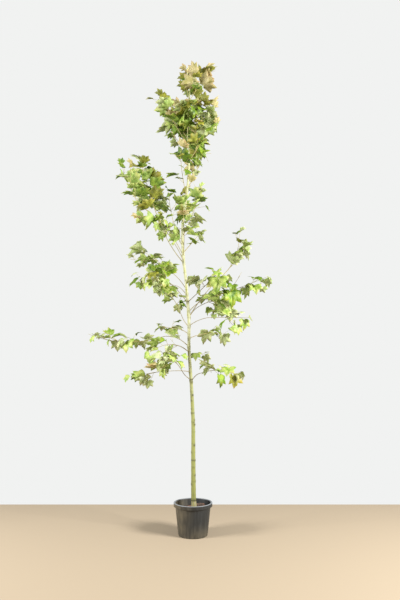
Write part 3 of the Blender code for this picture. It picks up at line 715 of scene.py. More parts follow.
def bent_points(leaf):
    """The flat leaf's points in space: folded along the midrib, pleated by its veins, twisted and wavy."""
    ahead, across = leaf_points.T
    reach, around = np.hypot(ahead, across), np.arctan2(across, ahead)
    lift = leaf.fold * np.abs(across) - leaf.sag * reach ** 2 + leaf.twist * ahead * across
    lift -= PLEAT * reach * np.cos(PLEATS * 2 * around)
    lift += leaf.wave * reach ** 2 * np.sin(WAVES * around + leaf.phase)
    side = leaf.face.cross(leaf.axis)
    ways = np.array([leaf.axis, side, leaf.face])
    return np.array(leaf.joint) + leaf.length * np.stack([ahead, across, lift], axis=1) @ ways


def leaves_mesh(group):
    """The leaves of a group as one mesh, each with the flat leaf's outline in its UV map."""
    mesh = copies_mesh([bent_points(leaf) for leaf in group], leaf_faces)
    flat = np.tile((leaf_points[np.concatenate(leaf_faces)] + 1) / 2, (len(group), 1))
    mesh.uv_layers.new(name="leaf").data.foreach_set("uv", flat.ravel())
    mesh.shade_smooth()
    return mesh


# %% [markdown]
# A living leaf has a broad waxy gloss above, is paler and duller beneath, and is thin enough for light to
# shine through it. So each leaf colour is two materials, one for each side, and each is a Principled shader
# with a share of Translucent. The veins are drawn from the leaf's own UV map: five lines that run out from
# the joint, in the colour that shines through the blade. Young leaves at the tips are pale, bronze or beige,
# and old ones near the trunk are dark. The palest tones and the lighter leaves at some heights are also a
# painted sheen, on top of that real paleness. These colours have a place, so they are dealt out to whole
# leaves, by how young the spray is and how high it stands, with a seeded draw for each limb.

# %% Leaf finishes
# Each tone: the blade, its deeper blotches, its margin, the light that shines through, how pale it is beneath
LEAF_TONES = {
    "dark": ("#708F0C", "#345402", "#76870C", "#92A822", 0.05),
    "green": ("#94AE2D", "#4C7602", "#9CA42F", "#B0C451", 0.11),
    "fresh": ("#B7C56A", "#769920", "#BEBE69", "#C9D68E", 0.21),
    # The pale lime tone is partly the real paleness of young leaves and partly a painted sheen
    "lime": ("#D1D6AB", "#9AAF50", "#D4D0A0", "#D8D8B6", 0.30),
    "bronze": ("#A8A83C", "#6A6E04", "#AC9E40", "#B6BA3C", 0.06),
    "blush": ("#DECCA2", "#AC9C50", "#CEA67A", "#D6C88E", 0.26),
}
UNDERSIDE = "#BED28C"
UPPER_ROUGHNESS, UNDER_ROUGHNESS = 0.52, 0.62
UPPER_GLOW, UNDER_GLOW = 0.26, 0.42
WAXY_GLOSS = 0.65
BLOTCH_MM = 34
BLOTCH_RANGE = (0.28, 0.66)
# How far out, with about 0.5 of noise added, the margin's colour starts and is full
MARGIN_RANGE = (0.80, 1.00)
VEIN_PALE = 0.24
VEIN_HALF_WIDTH = 0.022
VEIN_ANGLE = 46


def leaf_finish(name, colours, pale_share, roughness, glow_share):
    """A thin leaf that light shines through, with pale veins that run out from its joint."""
    blade, deep, margin, shining = colours
    finish, shader, add = new_finish(name, {"Roughness": roughness, "Specular IOR Level": WAXY_GLOSS})
    flat = add("UVMap", uv_map="leaf")["UV"]
    centred = add("VectorMath", {0: flat, 1: (0.5, 0.5, 0)}, operation="SUBTRACT")[0]
    parts = add("SeparateXYZ", {0: centred})
    reach = add("VectorMath", {0: centred}, operation="LENGTH")["Value"]
    around = add("Math", {0: parts["Y"], 1: parts["X"]}, operation="ARCTAN2")[0]
    back = add("Math", {0: around, 1: math.radians(VEIN_ANGLE)}, operation="PINGPONG")[0]
    off_vein = add("Math", {0: back, 1: reach}, operation="MULTIPLY")[0]
    vein = add("MapRange", {0: off_vein, 2: VEIN_HALF_WIDTH, 3: VEIN_PALE, 4: 0})[0]
    place = add("TexCoord")["Object"]
    noisy = add("TexNoise", {"Vector": place, "Scale": 1000 / BLOTCH_MM, "Detail": 2.0})["Fac"]
    outwards = add("Math", {0: reach, 1: noisy}, operation="ADD")[0]
    blotch, edge = (
        add("MapRange", {0: pattern, 1: start, 2: full}, **SOFT_ENDS)[0]
        for pattern, start, full in ((noisy, *BLOTCH_RANGE), (outwards, *MARGIN_RANGE))
    )
    colour = deep
    for share, tint in ((blotch, blade), (edge, margin), (pale_share, UNDERSIDE), (vein, shining)):
        colour = add("Mix", {0: share, 6: colour, 7: tint}, **COLOURS)[2]
    feed(shader, {"Base Color": colour})
    shone = add("Mix", {0: 0.5, 6: colour, 7: shining}, **COLOURS)[2]
    glow = add("BsdfTranslucent", {"Color": shone})[0]
    both = add("MixShader", {0: glow_share, 1: shader.outputs[0], 2: glow})[0]
    feed(finish.node_tree.nodes["Material Output"], {"Surface": both})
    return finish


leaf_finishes = {}
for tone, (*colours, paler) in LEAF_TONES.items():
    upper = leaf_finish(f"living_leaf_{tone}_upper", colours, 0.0, UPPER_ROUGHNESS, UPPER_GLOW)
    under = leaf_finish(f"living_leaf_{tone}_under", colours, paler, UNDER_ROUGHNESS, UNDER_GLOW)
    leaf_finishes[tone] = (upper, under)
print("leaf finishes:", len(leaf_finishes) * 2)

# %% Deal the tones out
TONE_STEPS = (("dark", 0.30), ("green", 0.50), ("fresh", 0.72))
# Height, how light leaves are there, partly as painted sheen, and how many of the young ones are bronze or
# beige
TONES_BY_HEIGHT = (
    (1.0, 0.30, 0.34), (1.4, 0.24, 0.00), (2.1, 0.18, 0.07), (2.6, 0.12, 0.30), (2.9, 0.05, 0.62),
    (3.15, 0.12, 0.90), (3.45, 0.34, 1.00),
)
PINK_FROM = 0.66
YOUTH_WEIGHT = 0.38
SPRAY_SPREAD = 0.18
LEAF_SPREAD = 0.26


def tone_of(leaf, spray_draw, draw):
    """A leaf's tone, from how young it is, how high it stands and two seeded draws."""
    heights, lightness_and_sheen, redness = zip(*TONES_BY_HEIGHT)
    # How light a leaf is at its height is partly a painted sheen
    tint = np.interp(leaf.joint.z, heights, lightness_and_sheen) + YOUTH_WEIGHT * leaf.youth + spray_draw
    tint += draw.uniform(-LEAF_SPREAD, LEAF_SPREAD)
    if draw.random() < np.interp(leaf.joint.z, heights, redness) * leaf.youth:
        return "blush" if tint > PINK_FROM else "bronze"
    for tone, limit in TONE_STEPS:
        if tint < limit:
            return tone
    return "lime"


toned = {tone: [] for tone in LEAF_TONES}
toned_masses = {tone: set() for tone in LEAF_TONES}
for limb in LIMBS:
    draw = random.Random(limb.tint)
    spray_draws = [draw.uniform(0, 2 * SPRAY_SPREAD) for _ in shoots[limb.name]]
    for leaf in leaves[limb.name]:
        tone = tone_of(leaf, spray_draws[leaf.spray], draw)
        toned[tone].append(leaf)
        toned_masses[tone].add("leaves_" + limb.name)
print("leaves of each tone:", {tone: len(group) for tone, group in toned.items()})

# %% Make the leaves
LEAF_THICKNESS = 0.0005
for tone, group in toned.items():
    masses = sorted(toned_masses[tone])
    piece = add_piece("leaves_" + tone, leaves_mesh(group), leaf_finishes[tone], masses)
    sheet = piece.modifiers.new("thickness", "SOLIDIFY")
    sheet.thickness = LEAF_THICKNESS
    sheet.offset = -1
    sheet.material_offset = 1
    sheet.material_offset_rim = 1

# %% [markdown]
# Twigs, spurs and leaf stalks are hundreds of thin tapering tubes. Each could be extruded ring by ring, but a
# curve with many splines and one bevel makes them all at once, with a radius at each point. The curve is then
# made a mesh, its end caps are welded on, and the curve itself is removed.


# %% Thin tubes from one curve
def tubes_mesh(tubes, roundness):
    """One mesh of closed tapering tubes along many shoots."""
    curve = bpy.data.curves.new("tubes", "CURVE")
    curve.dimensions = "3D"
    curve.bevel_depth = 0.5
    curve.bevel_resolution = roundness
    curve.use_fill_caps = True
    for tube in tubes:
        spline = curve.splines.new("POLY")
        spline.points.add(len(tube.points) - 1)
        for knot, point, width in zip(spline.points, tube.points, tube.widths):
            knot.co = (*point, 1)
            knot.radius = width
    loose = mesh_of(placed("tubes", curve))
    bpy.data.curves.remove(curve)
    shape = bmesh.new()
    shape.from_mesh(loose)
    bpy.data.meshes.remove(loose)
    seal(shape)
    return mesh_from(shape, sharp=60)


# %% Twigs
def twig_finish(name, young, old, spot_mm):
    """Thin bark or skin, dull enough to show no gloss, mottled in spots of a size in millimetres."""
    finish, shader, add = new_finish(name, {"Roughness": 0.6})
    place = add("TexCoord")["Object"]
    mottle = add("TexNoise", {"Vector": place, "Scale": 1000 / spot_mm, "Detail": 3.0})["Fac"]
    mottled = add("Mix", {0: mottle, 6: young, 7: old}, **COLOURS)[2]
    bump = add("Bump", {"Height": mottle, "Strength": 0.3, "Distance": 0.0003})[0]
    feed(shader, {"Base Color": mottled, "Normal": bump})
    return finish


twig_bark = twig_finish("young_twig_bark", "#A9A063", "#7C6B45", 12)
masses = ["leaves_" + limb.name for limb in LIMBS]
all_shoots = [shoot for group in shoots.values() for shoot in group]
add_piece("twigs", tubes_mesh(all_shoots, 1), [twig_bark], masses)

# %% Leaf stalks
STALK_WIDTHS = (0.0018, 0.0013)
STALK_BOW = 0.10


def stalk_of(leaf):
    """The stalk from the twig to the blade's joint, bowed a little upwards."""
    middle = leaf.foot.lerp(leaf.joint, 0.5)
    middle.z += (leaf.joint - leaf.foot).length * STALK_BOW
    points = [leaf.foot, middle, leaf.joint]
    return Shoot(points, taper(points, *STALK_WIDTHS))


stalk_skin = twig_finish("leaf_stalk_skin", "#B9C06A", "#A98E55", 20)
stalks = [stalk_of(leaf) for group in leaves.values() for leaf in group]
add_piece("leaf_stalks", tubes_mesh(stalks, 0), [stalk_skin])

# %% [markdown]
# The trunk and boughs are where the bark shows. A round tube would look like a pipe, so these limbs are drawn
# out ring by ring, and each ring's points are then moved in or out: a swelling under each bough, the ring
# scars that each year's bud leaves all round the stem, and the small side scars of pruned twigs. How deep a
# scar is goes into an attribute of the mesh, so that the finish can darken the bark there.


# %% Drawing a limb out ring by ring
def limb_shape(points, widths, sides):
    """A closed round tube along the points, and the vertices of each of its rings."""
    ways = [points[1] - points[0]]
    ways += [after - before for before, after in zip(points, points[2:])]
    ways.append(points[-1] - points[-2])
    shape = bmesh.new()
    shape.verts.layers.float.new("scar")
    place = Matrix.Translation(points[0]) @ ways[0].to_track_quat("Z", "Y").to_matrix().to_4x4()
    bmesh.ops.create_circle(shape, cap_ends=True, segments=sides, radius=widths[0] / 2, matrix=place)
    rings = [list(shape.verts)]
    edges = list(shape.edges)
    for index in range(1, len(points)):
        ring, edges = drawn_ring(shape, edges)
        turn = ways[index - 1].rotation_difference(ways[index]).to_matrix().to_4x4()
        size = Matrix.Scale(widths[index] / widths[index - 1], 4)
        there = Matrix.Translation(points[index]) @ turn @ size @ Matrix.Translation(-points[index - 1])
        bmesh.ops.transform(shape, matrix=there, verts=ring)
        rings.append(ring)
    bmesh.ops.holes_fill(shape, edges=edges, sides=sides)
    bmesh.ops.recalc_face_normals(shape, faces=shape.faces)
    return shape, rings


# %% The marks on the trunk
TRUNK_SIDES = 28
TRUNK_RING_SPACING = 0.0045
RING_TALL = 0.004
SCAR_TALL = 0.008
COLLAR_TALL = 0.016
NODE_SPACING = 0.083
NODE_SWELL = 0.018
FIRST_NODE, LAST_NODE = 0.10, 0.25

# A mark: its height, the azimuth it faces or None for all round, how tall it is, how far it swells as a
# share of the radius, and how dark it is
Mark = namedtuple("Mark", "height azimuth tall swell dark")
# Height of each ring scar that shows, how far it swells and how dark it is
RING_SCARS = ((0.250, 0.035, 1.0), (0.262, 0.015, 0.4), (0.540, 0.040, 0.9), (0.881, 0.030, 0.8))
# Height of each side scar, the azimuth it faces, how far it swells and how dark it is
SIDE_SCARS = (
    (0.540, -20, 0.16, 0.7), (0.367, -165, 0.14, 0.9), (0.432, -30, 0.14, 0.8), (0.649, -45, 0.16, 1.0),
    (0.798, -30, 0.32, 1.0), (0.830, -20, 0.18, 0.9), (0.881, -160, 0.15, 0.9), (0.970, -120, 0.12, 0.6),
    (1.011, -55, 0.18, 1.0), (0.700, 95, 0.16, 0.9), (0.470, 120, 0.14, 0.9),
)
TRUNK_MARKS = [Mark(height, None, RING_TALL, swell, dark) for height, swell, dark in RING_SCARS]
TRUNK_MARKS += [Mark(height, azimuth, SCAR_TALL, swell, dark) for height, azimuth, swell, dark in SIDE_SCARS]
TRUNK_MARKS += [Mark(limb.height, limb.azimuth, COLLAR_TALL, 0.30, 0.75) for limb in LIMBS if limb.bare]
TRUNK_MARKS += [Mark(limb.height, None, RING_TALL, 0.04, 0.30) for limb in LIMBS]
# A bud scar on each stretch of the trunk, each facing a golden angle on from the last
node_draw = random.Random(5)
node_height = COMPOST_TOP + FIRST_NODE
while node_height < cad_high.z - LAST_NODE:
    facing = len(TRUNK_MARKS) * GOLDEN_ANGLE % 360 - 180
    TRUNK_MARKS.append(Mark(node_height, None, RING_TALL, NODE_SWELL, node_draw.uniform(0.05, 0.25)))
    TRUNK_MARKS.append(Mark(node_height, facing, SCAR_TALL, 0.12, node_draw.uniform(0.2, 0.65)))
    node_height += NODE_SPACING * node_draw.uniform(0.7, 1.3)
print("marks on the trunk:", len(TRUNK_MARKS))

# %% Working the marks into the bark
LUMPS_PER_METRE = (38, 110)


def strength_of(mark, height, azimuth):
    """How much of a mark a point feels: all at its middle and none far from it."""
    off = (height - mark.height) / mark.tall
    if abs(off) > 3:
        return 0.0
    facing = 1.0
    if mark.azimuth is not None:
        facing = max(0.0, math.cos(math.radians(azimuth - mark.azimuth))) ** 3
    return math.exp(-off * off) * facing


def work_bark(shape, rings, middles, marks, wave):
    """Moves a limb's points in and out by its marks and a slow wave, and keeps how dark each point is."""
    dark = shape.verts.layers.float["scar"]
    for ring, middle in zip(rings, middles):
        near = [mark for mark in marks if abs(mark.height - middle.z) < 4 * mark.tall]
        for corner in ring:
            out = corner.co - middle
            azimuth = math.degrees(math.atan2(out.y, out.x))
            slow, quick = (noise.noise(corner.co * often) for often in LUMPS_PER_METRE)
            swell = wave * slow + wave * quick / 2
            for mark in near:
                strength = strength_of(mark, corner.co.z, azimuth)
                swell += mark.swell * strength
                corner[dark] = max(corner[dark], mark.dark * strength)
            corner.co = middle + out * (1 + swell)


# %% [markdown]
# Young plane bark is thin and smooth. On the oldest wood, down by the compost, it is a dull tan, then olive
# green where the skin still lives, and cream to buff higher up. It has fine upright streaks a few millimetres
# wide, pale breathing pores and darker scars. The colours go by height, so they read the Object coordinates
# through a colour ramp. Streaks are noise that is squeezed across the trunk and drawn out along it.

# %% The bark's finish
BARK_STOPS = (
    (0.190, "#84795E"), (0.243, "#8E8668"), (0.250, "#4E4E28"), (0.262, "#75783C"), (0.60, "#7E8348"),
    (0.95, "#85894F"), (1.15, "#979970"), (1.50, "#A8A888"), (2.50, "#A9A985"), (3.00, "#ABAD7C"),
    (3.34, "#989C5C"),
)
STREAK_MM = 5
STREAK_LENGTH = 14
PATCH_MM, PATCH_COLOUR = 45, "#73763A"
PORE_MM, PORE_COLOUR = 6, "#ABA878"


def bark_finish(name, stops, streak, scar_colour):
    """Smooth young bark whose colour goes by height, with upright streaks, pores and dark scars."""
    finish, shader, add = new_finish(name, {"Roughness": 0.62})
    place = add("TexCoord")["Object"]
    height = add("SeparateXYZ", {0: place})["Z"]
    low, high = stops[0][0], stops[-1][0]
    by_height = add("ValToRGB", {0: add("MapRange", {0: height, 1: low, 2: high})[0]})["Color"]
    ramp = by_height.node.color_ramp
    for index, (at, colour) in enumerate(stops):
        spot = (at - low) / (high - low)
        stop = ramp.elements[index] if index < 2 else ramp.elements.new(spot)
        stop.position = spot
        stop.color = linear(colour)
    upright = add("Mapping", {"Vector": place, "Scale": (1, 1, 1 / STREAK_LENGTH)})[0]
    streaks = add("TexNoise", {"Vector": upright, "Scale": 1000 / STREAK_MM, "Detail": 4.0})["Fac"]
    patches = add("TexNoise", {"Vector": place, "Scale": 1000 / PATCH_MM, "Detail": 2.0})["Fac"]
    pores = add("TexVoronoi", {"Vector": place, "Scale": 1000 / PORE_MM})["Distance"]
    shares = [
        add("MapRange", {0: pattern, 1: none, 2: full}, **SOFT_ENDS)[0]
        for pattern, none, full in ((streaks, 0.42, 0.75), (patches, 0.50, 1.00), (pores, 0.17, 0.02))
    ]
    shares.append(add("Attribute", attribute_name="scar")["Fac"])
    colour = by_height
    for share, tint in zip(shares, (streak, PATCH_COLOUR, PORE_COLOUR, scar_colour)):
        colour = add("Mix", {0: share, 6: colour, 7: tint}, **COLOURS)[2]
    bump = add("Bump", {"Height": streaks, "Strength": 0.35, "Distance": 0.0006})[0]
    feed(shader, {"Base Color": colour, "Normal": bump})
    return finish


trunk_bark = bark_finish("young_plane_bark", BARK_STOPS, "#8C8B3E", "#3C381C")
BOUGH_STOPS = ((1.0, "#8E8262"), (1.6, "#938868"), (2.2, "#8B8460"), (2.8, "#7E7C50"))
bough_bark = bark_finish("young_bough_bark", BOUGH_STOPS, "#86794F", "#5A4E34")

# %% The trunk
TRUNK_FINER = 12
trunk_columns = list(zip(*smooth_route(TRUNK_KNOTS, TRUNK_FINER)))
trunk_foot, trunk_tip = TRUNK_KNOTS[0][2], TRUNK_KNOTS[-1][2]
trunk_heights = np.linspace(trunk_foot, trunk_tip, round((trunk_tip - trunk_foot) / TRUNK_RING_SPACING))
trunk_rows = np.transpose([np.interp(trunk_heights, trunk_columns[2], column) for column in trunk_columns])
trunk_points = [Vector(row[:3]) for row in trunk_rows]
trunk_widths = trunk_rows[:, 3].tolist()
trunk_shape, trunk_rings = limb_shape(trunk_points, trunk_widths, TRUNK_SIDES)
work_bark(trunk_shape, trunk_rings, trunk_points, TRUNK_MARKS, 0.035)
add_piece("trunk_bark", mesh_from(trunk_shape, sharp=70), [trunk_bark], ["trunk"])

# %% The boughs
BOUGH_SIDES = 14
BOUGH_FINER = 4
BOUGH_SLIMMER = 0.72
COLLAR_LENGTH = 0.04
BOUGH_NODE_SPACING = 0.055
FIRST_BOUGH_NODE = (0.03, 0.06)
BOUGH_NODE_SWELL = 1.22


def bough_shape(bough, draw):
    """A bough with a ring scar at each node, from inside the trunk to where it enters its leaves."""
    points, widths = smooth_shoot(bough.points, bough.widths, BOUGH_FINER)
    gone, next_node = 0.0, draw.uniform(*FIRST_BOUGH_NODE)
    for index in range(1, len(points)):
        gone += (points[index] - points[index - 1]).length
        widths[index] *= between(1, BOUGH_SLIMMER, min(1.0, gone / COLLAR_LENGTH))
        if gone > next_node:
            widths[index] *= BOUGH_NODE_SWELL
            next_node += BOUGH_NODE_SPACING * draw.uniform(0.8, 1.2)
    shape, rings = limb_shape(points, widths, BOUGH_SIDES)
    work_bark(shape, rings, points, [], 0.05)
    return shape


joined = bmesh.new()
for order, bough in enumerate(boughs.values()):
    loose = mesh_from(bough_shape(bough, random.Random(order)))
    joined.from_mesh(loose)
    bpy.data.meshes.remove(loose)
bough_names = ["bough_" + name for name in boughs]
add_piece("bough_bark", mesh_from(joined, sharp=70), [bough_bark], bough_names)

# %% [markdown]
# The pot is a moulded nursery pot of recycled polypropylene. Its wall tapers to a foot that is notched for
# drainage, and it turns over at the top into a rolled lip with a hanging band. All of it is round, so one
# profile is spun. The fine upright ribs are pressed into the wall by moving its points. The notches are cut
# with round bars, as the mould's own cores form them.

# %% The pot's profile
pot_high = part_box("pot")[1]
POT_HEIGHT = pot_high.z
RIM_RADIUS = pot_high.x
BAND_DEPTH = 0.0265
LIP_RADIUS = 0.0024
WALL_THICKNESS = 0.0024
WALL_TOP_RADIUS = 0.1305
WALL_FOOT_RADIUS = 0.1062
FLOOR_THICKNESS = 0.003
POT_STEPS = 240
BAND_EDGE = 0.0012
FOOT_EDGE = 0.003
BAND_INSIDE = 0.0028
BAND_ROOT = 0.005


def wall_radius(height):
    """The outer radius of the tapering wall."""
    return between(WALL_FOOT_RADIUS, WALL_TOP_RADIUS, height / POT_HEIGHT)


def arc(radius_at, height_at, size, first, last, steps):
    """Points of radius and height on a round stretch, from a first to a last angle in degrees."""
    angles = [math.radians(between(first, last, step / steps)) for step in range(steps + 1)]
    return [(radius_at + size * math.cos(angle), height_at + size * math.sin(angle)) for angle in angles]


def wall_stretch(low, high, steps, inwards):
    """Points up or down the tapering wall, moved inwards by the wall's thickness."""
    heights = [between(low, high, step / steps) for step in range(steps + 1)]
    return [(wall_radius(height) - inwards, height) for height in heights]


band_foot = POT_HEIGHT - BAND_DEPTH
lip_middle = POT_HEIGHT - LIP_RADIUS
# Up the inside of the wall, over the rolled lip, and past a faint bead under it
profile = [(0, FLOOR_THICKNESS)]
profile += wall_stretch(FLOOR_THICKNESS, POT_HEIGHT - 2 * LIP_RADIUS, 24, WALL_THICKNESS)
profile += arc(wall_radius(POT_HEIGHT) - WALL_THICKNESS + LIP_RADIUS, lip_middle, LIP_RADIUS, 180, 90, 5)
profile += arc(RIM_RADIUS - LIP_RADIUS, lip_middle, LIP_RADIUS, 90, -35, 8)
profile += arc(RIM_RADIUS - BAND_EDGE, POT_HEIGHT - 0.008, 0.0008, 20, -20, 2)
# Round the band's lower edge, up behind the band, and down the wall to the rounded foot and the underside
profile += arc(RIM_RADIUS - BAND_EDGE, band_foot + BAND_EDGE, BAND_EDGE, 0, -180, 6)
profile.append((RIM_RADIUS - BAND_INSIDE, POT_HEIGHT - BAND_ROOT))
profile.append((wall_radius(POT_HEIGHT - BAND_ROOT), POT_HEIGHT - BAND_ROOT))
profile += wall_stretch(POT_HEIGHT - 0.012, 2 * FOOT_EDGE, 40, 0)
profile += arc(wall_radius(0) - FOOT_EDGE, FOOT_EDGE, FOOT_EDGE, 0, -90, 4)
profile += [(WALL_FOOT_RADIUS - 4 * FOOT_EDGE, 0.0), (0, 0.0)]
print("points in the pot's profile:", len(profile))

# %% Spin the pot and press its ribs
RIBS = 80
RIB_DEPTH = 0.00045
RIB_LOW, RIB_HIGH = 0.012, 0.204
RIB_FADE = 0.01


def spun(profile, steps):
    """A closed shape from a profile of radius and height, spun round the vertical axis."""
    shape = bmesh.new()
    corners = [shape.verts.new((radius, 0, height)) for radius, height in profile]
    geom = corners + [shape.edges.new(pair) for pair in zip(corners, corners[1:])]
    full = {"angle": 2 * math.pi, "steps": steps, "use_merge": True}
    bmesh.ops.spin(shape, geom=geom, cent=(0, 0, 0), axis=(0, 0, 1), **full)
    seal(shape)
    return shape


def press_ribs(shape):
    """Fine upright ribs on the outside of the wall, fading out towards the band and the foot."""
    for corner in shape.verts:
        radius = math.hypot(corner.co.x, corner.co.y)
        if RIB_LOW < corner.co.z < RIB_HIGH and radius > wall_radius(corner.co.z) - WALL_THICKNESS / 2:
            fade = min(1.0, (corner.co.z - RIB_LOW) / RIB_FADE, (RIB_HIGH - corner.co.z) / RIB_FADE)
            wave = math.cos(RIBS * math.atan2(corner.co.y, corner.co.x))
            size = 1 + RIB_DEPTH * fade * (wave - 1) / 2 / radius
            corner.co.x *= size
            corner.co.y *= size


pot_shape = spun(profile, POT_STEPS)
press_ribs(pot_shape)
print("the pot before it is notched:", len(pot_shape.faces), "faces")

# %% Cut the notches
NOTCHES = 6
NOTCH_RADIUS = 0.0065
NOTCH_FIRST_AZIMUTH = -70
BAR_LENGTH, BAR_SIDES = 0.03, 20


def notch_bars():
    """Round bars that lie outwards through the foot of the wall."""
    bars = bmesh.new()
    sizes = {"segments": BAR_SIDES, "radius1": NOTCH_RADIUS, "radius2": NOTCH_RADIUS, "depth": BAR_LENGTH}
    outwards = Matrix.Translation((WALL_FOOT_RADIUS, 0, 0)) @ Matrix.Rotation(math.radians(90), 4, "Y")
    for number in range(NOTCHES):
        turn = Matrix.Rotation(math.radians(NOTCH_FIRST_AZIMUTH + 360 / NOTCHES * number), 4, "Z")
        bmesh.ops.create_cone(bars, cap_ends=True, matrix=turn @ outwards, **sizes)
    return mesh_from(bars)


def cut_with(mesh, cutter):
    """The mesh with the cutter's shape taken out of it."""
    blank, bars = placed("blank", mesh), placed("bars", cutter)
    cut = blank.modifiers.new("cut", "BOOLEAN")
    cut.operation = "DIFFERENCE"
    cut.object = bars
    result = mesh_of(blank)
    bpy.data.objects.remove(bars)
    return result


pot_mesh = cut_with(mesh_from(pot_shape), notch_bars())
soften(pot_mesh, 50)

# %% [markdown]
# Recycled black plastic comes out a dark neutral grey with a soft, slightly dusty sheen. The pot has stood in
# a nursery: pale olive-brown dust clings to its left side and lower wall in upright smears. The top of the lip
# carries a painted highlight of lighter grey. The smears are noise, stretched upright and let in by height and
# side. The moulded grain is finer than the picture shows, so it only takes the edge off the gloss.

# %% The pot's finish
PLASTIC_GREYS = ("#1F2121", "#2C2E2F")
DUST_COLOUR = "#6A604A"
# The top of the lip is painted this lighter grey as a painted highlight
LIP_HIGHLIGHT_GREY = "#7C8083"
SMEAR_MM, CLOUD_MM, GRAIN_MM = 16, 90, 1.5


def pot_finish():
    """Moulded recycled polypropylene, dark grey, with dust smeared on its lower wall and left side."""
    finish, shader, add = new_finish("moulded_recycled_polypropylene", {"IOR": 1.49})
    place = add("TexCoord")["Object"]
    parts = add("SeparateXYZ", {0: place})
    upright = add("Mapping", {"Vector": place, "Scale": (1, 1, 0.10)})[0]
    smears = add("TexNoise", {"Vector": upright, "Scale": 1000 / SMEAR_MM, "Detail": 5.0})["Fac"]
    clouds = add("TexNoise", {"Vector": place, "Scale": 1000 / CLOUD_MM, "Detail": 3.0})["Fac"]
    grain = add("TexNoise", {"Vector": place, "Scale": 1000 / GRAIN_MM, "Detail": 2.0})["Fac"]
    patchy = add("Math", {0: smears, 1: clouds}, operation="ADD")[0]
    low_down, leftwards, let_in, streak, lip_highlight = (
        add("MapRange", {0: source, 1: none, 2: full}, **SOFT_ENDS)[0] for source, none, full in (
            (parts["Z"], 0.13, -0.08), (parts["X"], 0.03, -0.14), (patchy, 0.45, 1.55), (smears, 0.35, 0.70),
            # This last range lets in the painted highlight along the top of the lip
            (parts["Z"], POT_HEIGHT - 0.004, POT_HEIGHT - 0.0005),
        )
    )
    dusty = add("Math", {0: low_down, 1: leftwards}, operation="MAXIMUM")[0]
    dust = add("Math", {0: let_in, 1: dusty}, operation="MULTIPLY")[0]
    colour, paler_grey = PLASTIC_GREYS
    for share, tint in ((streak, paler_grey), (dust, DUST_COLOUR), (lip_highlight, LIP_HIGHLIGHT_GREY)):
        colour = add("Mix", {0: share, 6: colour, 7: tint}, **COLOURS)[2]
    rough = add("MapRange", {0: clouds, 3: 0.30, 4: 0.56})[0]
    bump = add("Bump", {"Height": grain, "Strength": 0.15, "Distance": 0.0002})[0]
    feed(shader, {"Base Color": colour, "Roughness": rough, "Normal": bump})
    return finish


add_piece("nursery_pot", pot_mesh, [pot_finish()], ["pot"])

# %% [markdown]
# The compost is a crumbly dark brown bed of peat-free fibre, with coarse crumbs and chips of bark lying on
# it. The bed is spun like the pot, then its top is roughened by noise and lifted into a low heap of chips at
# the back right, below the rim. The crumbs and chips are copies of one small ball, squashed, turned and
# jittered at random, joined into one mesh for each kind.

# %% The compost bed
BED_STEPS = 120
BED_RINGS = 36
CRUMBLE = 0.0022
# The bed is level as far out as this share of its radius, and then falls to its edge
LEVEL_SHARE, EDGE_DROP = 0.35, 0.003
HEAP_HEIGHT, HEAP_WIDTH, HEAP_PLACE = 0.026, 0.055, (0.060, 0.062)
bed_low, bed_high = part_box("compost")
bed_radius = bed_high.x
bed_edge = COMPOST_TOP - EDGE_DROP
bed_profile = []
for step in range(BED_RINGS + 1):
    at = bed_radius * step / BED_RINGS
    fall = max(0.0, at / bed_radius - LEVEL_SHARE) / (1 - LEVEL_SHARE)
    bed_profile.append((at, between(COMPOST_TOP, bed_edge, fall) - CRUMBLE))
bed_foot_radius = wall_radius(bed_low.z) - WALL_THICKNESS - 0.0004
bed_profile += [(bed_foot_radius, bed_low.z), (0, bed_low.z)]
bed_shape = spun(bed_profile, BED_STEPS)


def heap_at(x, y):
    """How far the heap of chips at the back right lifts the compost there."""
    off = math.hypot(x - HEAP_PLACE[0], y - HEAP_PLACE[1]) / HEAP_WIDTH
    return HEAP_HEIGHT * math.exp(-off * off)


for corner in bed_shape.verts:
    if corner.co.z > bed_edge - 2 * CRUMBLE and math.hypot(corner.co.x, corner.co.y) < bed_radius - 0.001:
        rough = noise.noise(corner.co * 160) + noise.noise(corner.co * 420) / 2
        corner.co.z += CRUMBLE * rough + heap_at(corner.co.x, corner.co.y)


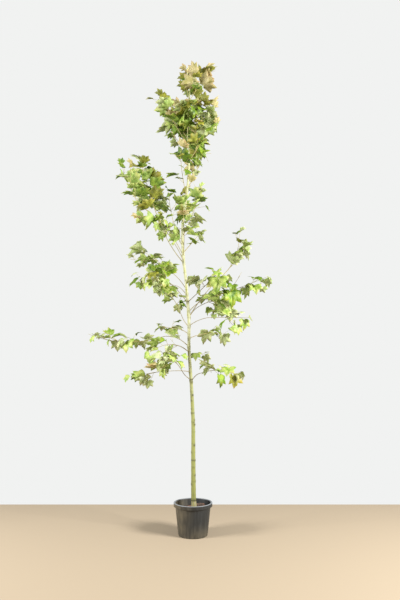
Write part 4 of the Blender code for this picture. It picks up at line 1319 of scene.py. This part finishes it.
def soil_finish(name, dark, light, crumb_mm):
    """Damp fibrous crumbs, quite without gloss, mottled between a dark and a lighter brown."""
    finish, shader, add = new_finish(name, {"Roughness": 0.92})
    place = add("TexCoord")["Object"]
    size = {"Scale": 1000 / crumb_mm, "Detail": 6.0, "Roughness": 0.7}
    crumbs = add("TexNoise", {"Vector": place, **size})["Fac"]
    shade = add("MapRange", {0: crumbs, 1: 0.35, 2: 0.70}, **SOFT_ENDS)[0]
    mottled = add("Mix", {0: shade, 6: dark, 7: light}, **COLOURS)[2]
    bump = add("Bump", {"Height": crumbs, "Strength": 0.8, "Distance": 0.001})[0]
    feed(shader, {"Base Color": mottled, "Normal": bump})
    return finish


bed_finish = soil_finish("peat_free_compost", "#30251F", "#5E4A3D", 5)
add_piece("compost_bed", mesh_from(bed_shape, sharp=60), [bed_finish], ["compost"])

# %% Crumbs and chips of bark
ball = bmesh.new()
bmesh.ops.create_icosphere(ball, subdivisions=1, radius=1)
lump_points, lump_faces = points_and_faces(ball)


def scattered_lumps(count, sizes, flatness, seed):
    """Lumps of a size in metres strewn over the bed, clear of the trunk and of the pot's wall."""
    draw = random.Random(seed)
    copies = []
    for _ in range(count):
        size = draw.uniform(*sizes)
        reach = math.sqrt(draw.uniform(0.035, 0.93)) * (bed_radius - size)
        around = draw.uniform(0, 2 * math.pi)
        turn = Matrix.Rotation(draw.uniform(0, 2 * math.pi), 3, "Z")
        turn = turn @ Matrix.Rotation(draw.uniform(-0.4, 0.4), 3, "X")
        jitter = np.array([[draw.uniform(0.75, 1.25) for _ in range(3)] for _ in lump_points])
        lump = lump_points * jitter * np.array([size, size * draw.uniform(0.45, 0.8), size * flatness]) / 2
        x, y = reach * math.cos(around), reach * math.sin(around)
        middle = np.array([x, y, COMPOST_TOP - 0.002 - EDGE_DROP * reach / bed_radius + heap_at(x, y)])
        copies.append(lump @ np.array(turn).T + middle)
    return copies_mesh(copies, lump_faces)


crumb_finish = soil_finish("compost_crumb", "#3C2F28", "#786250", 3)
chip_finish = soil_finish("composted_bark_chip", "#553728", "#8C6654", 6)
crumb_mesh = scattered_lumps(420, (0.003, 0.008), 0.7, 11)
chip_mesh = scattered_lumps(130, (0.010, 0.024), 0.30, 12)
add_piece("compost_crumbs", crumb_mesh, [crumb_finish])
add_piece("bark_chips", chip_mesh, [chip_finish])

# %% [markdown]
# The last step measures what was made.

# %% Compare the boxes and finish
new_low, new_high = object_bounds()
for axis, low, high, new_a, new_b in zip("XYZ", cad_low, cad_high, new_low, new_high):
    print(f"{axis}: model {low:.3f} to {high:.3f}, dressed {new_a:.3f} to {new_b:.3f}")
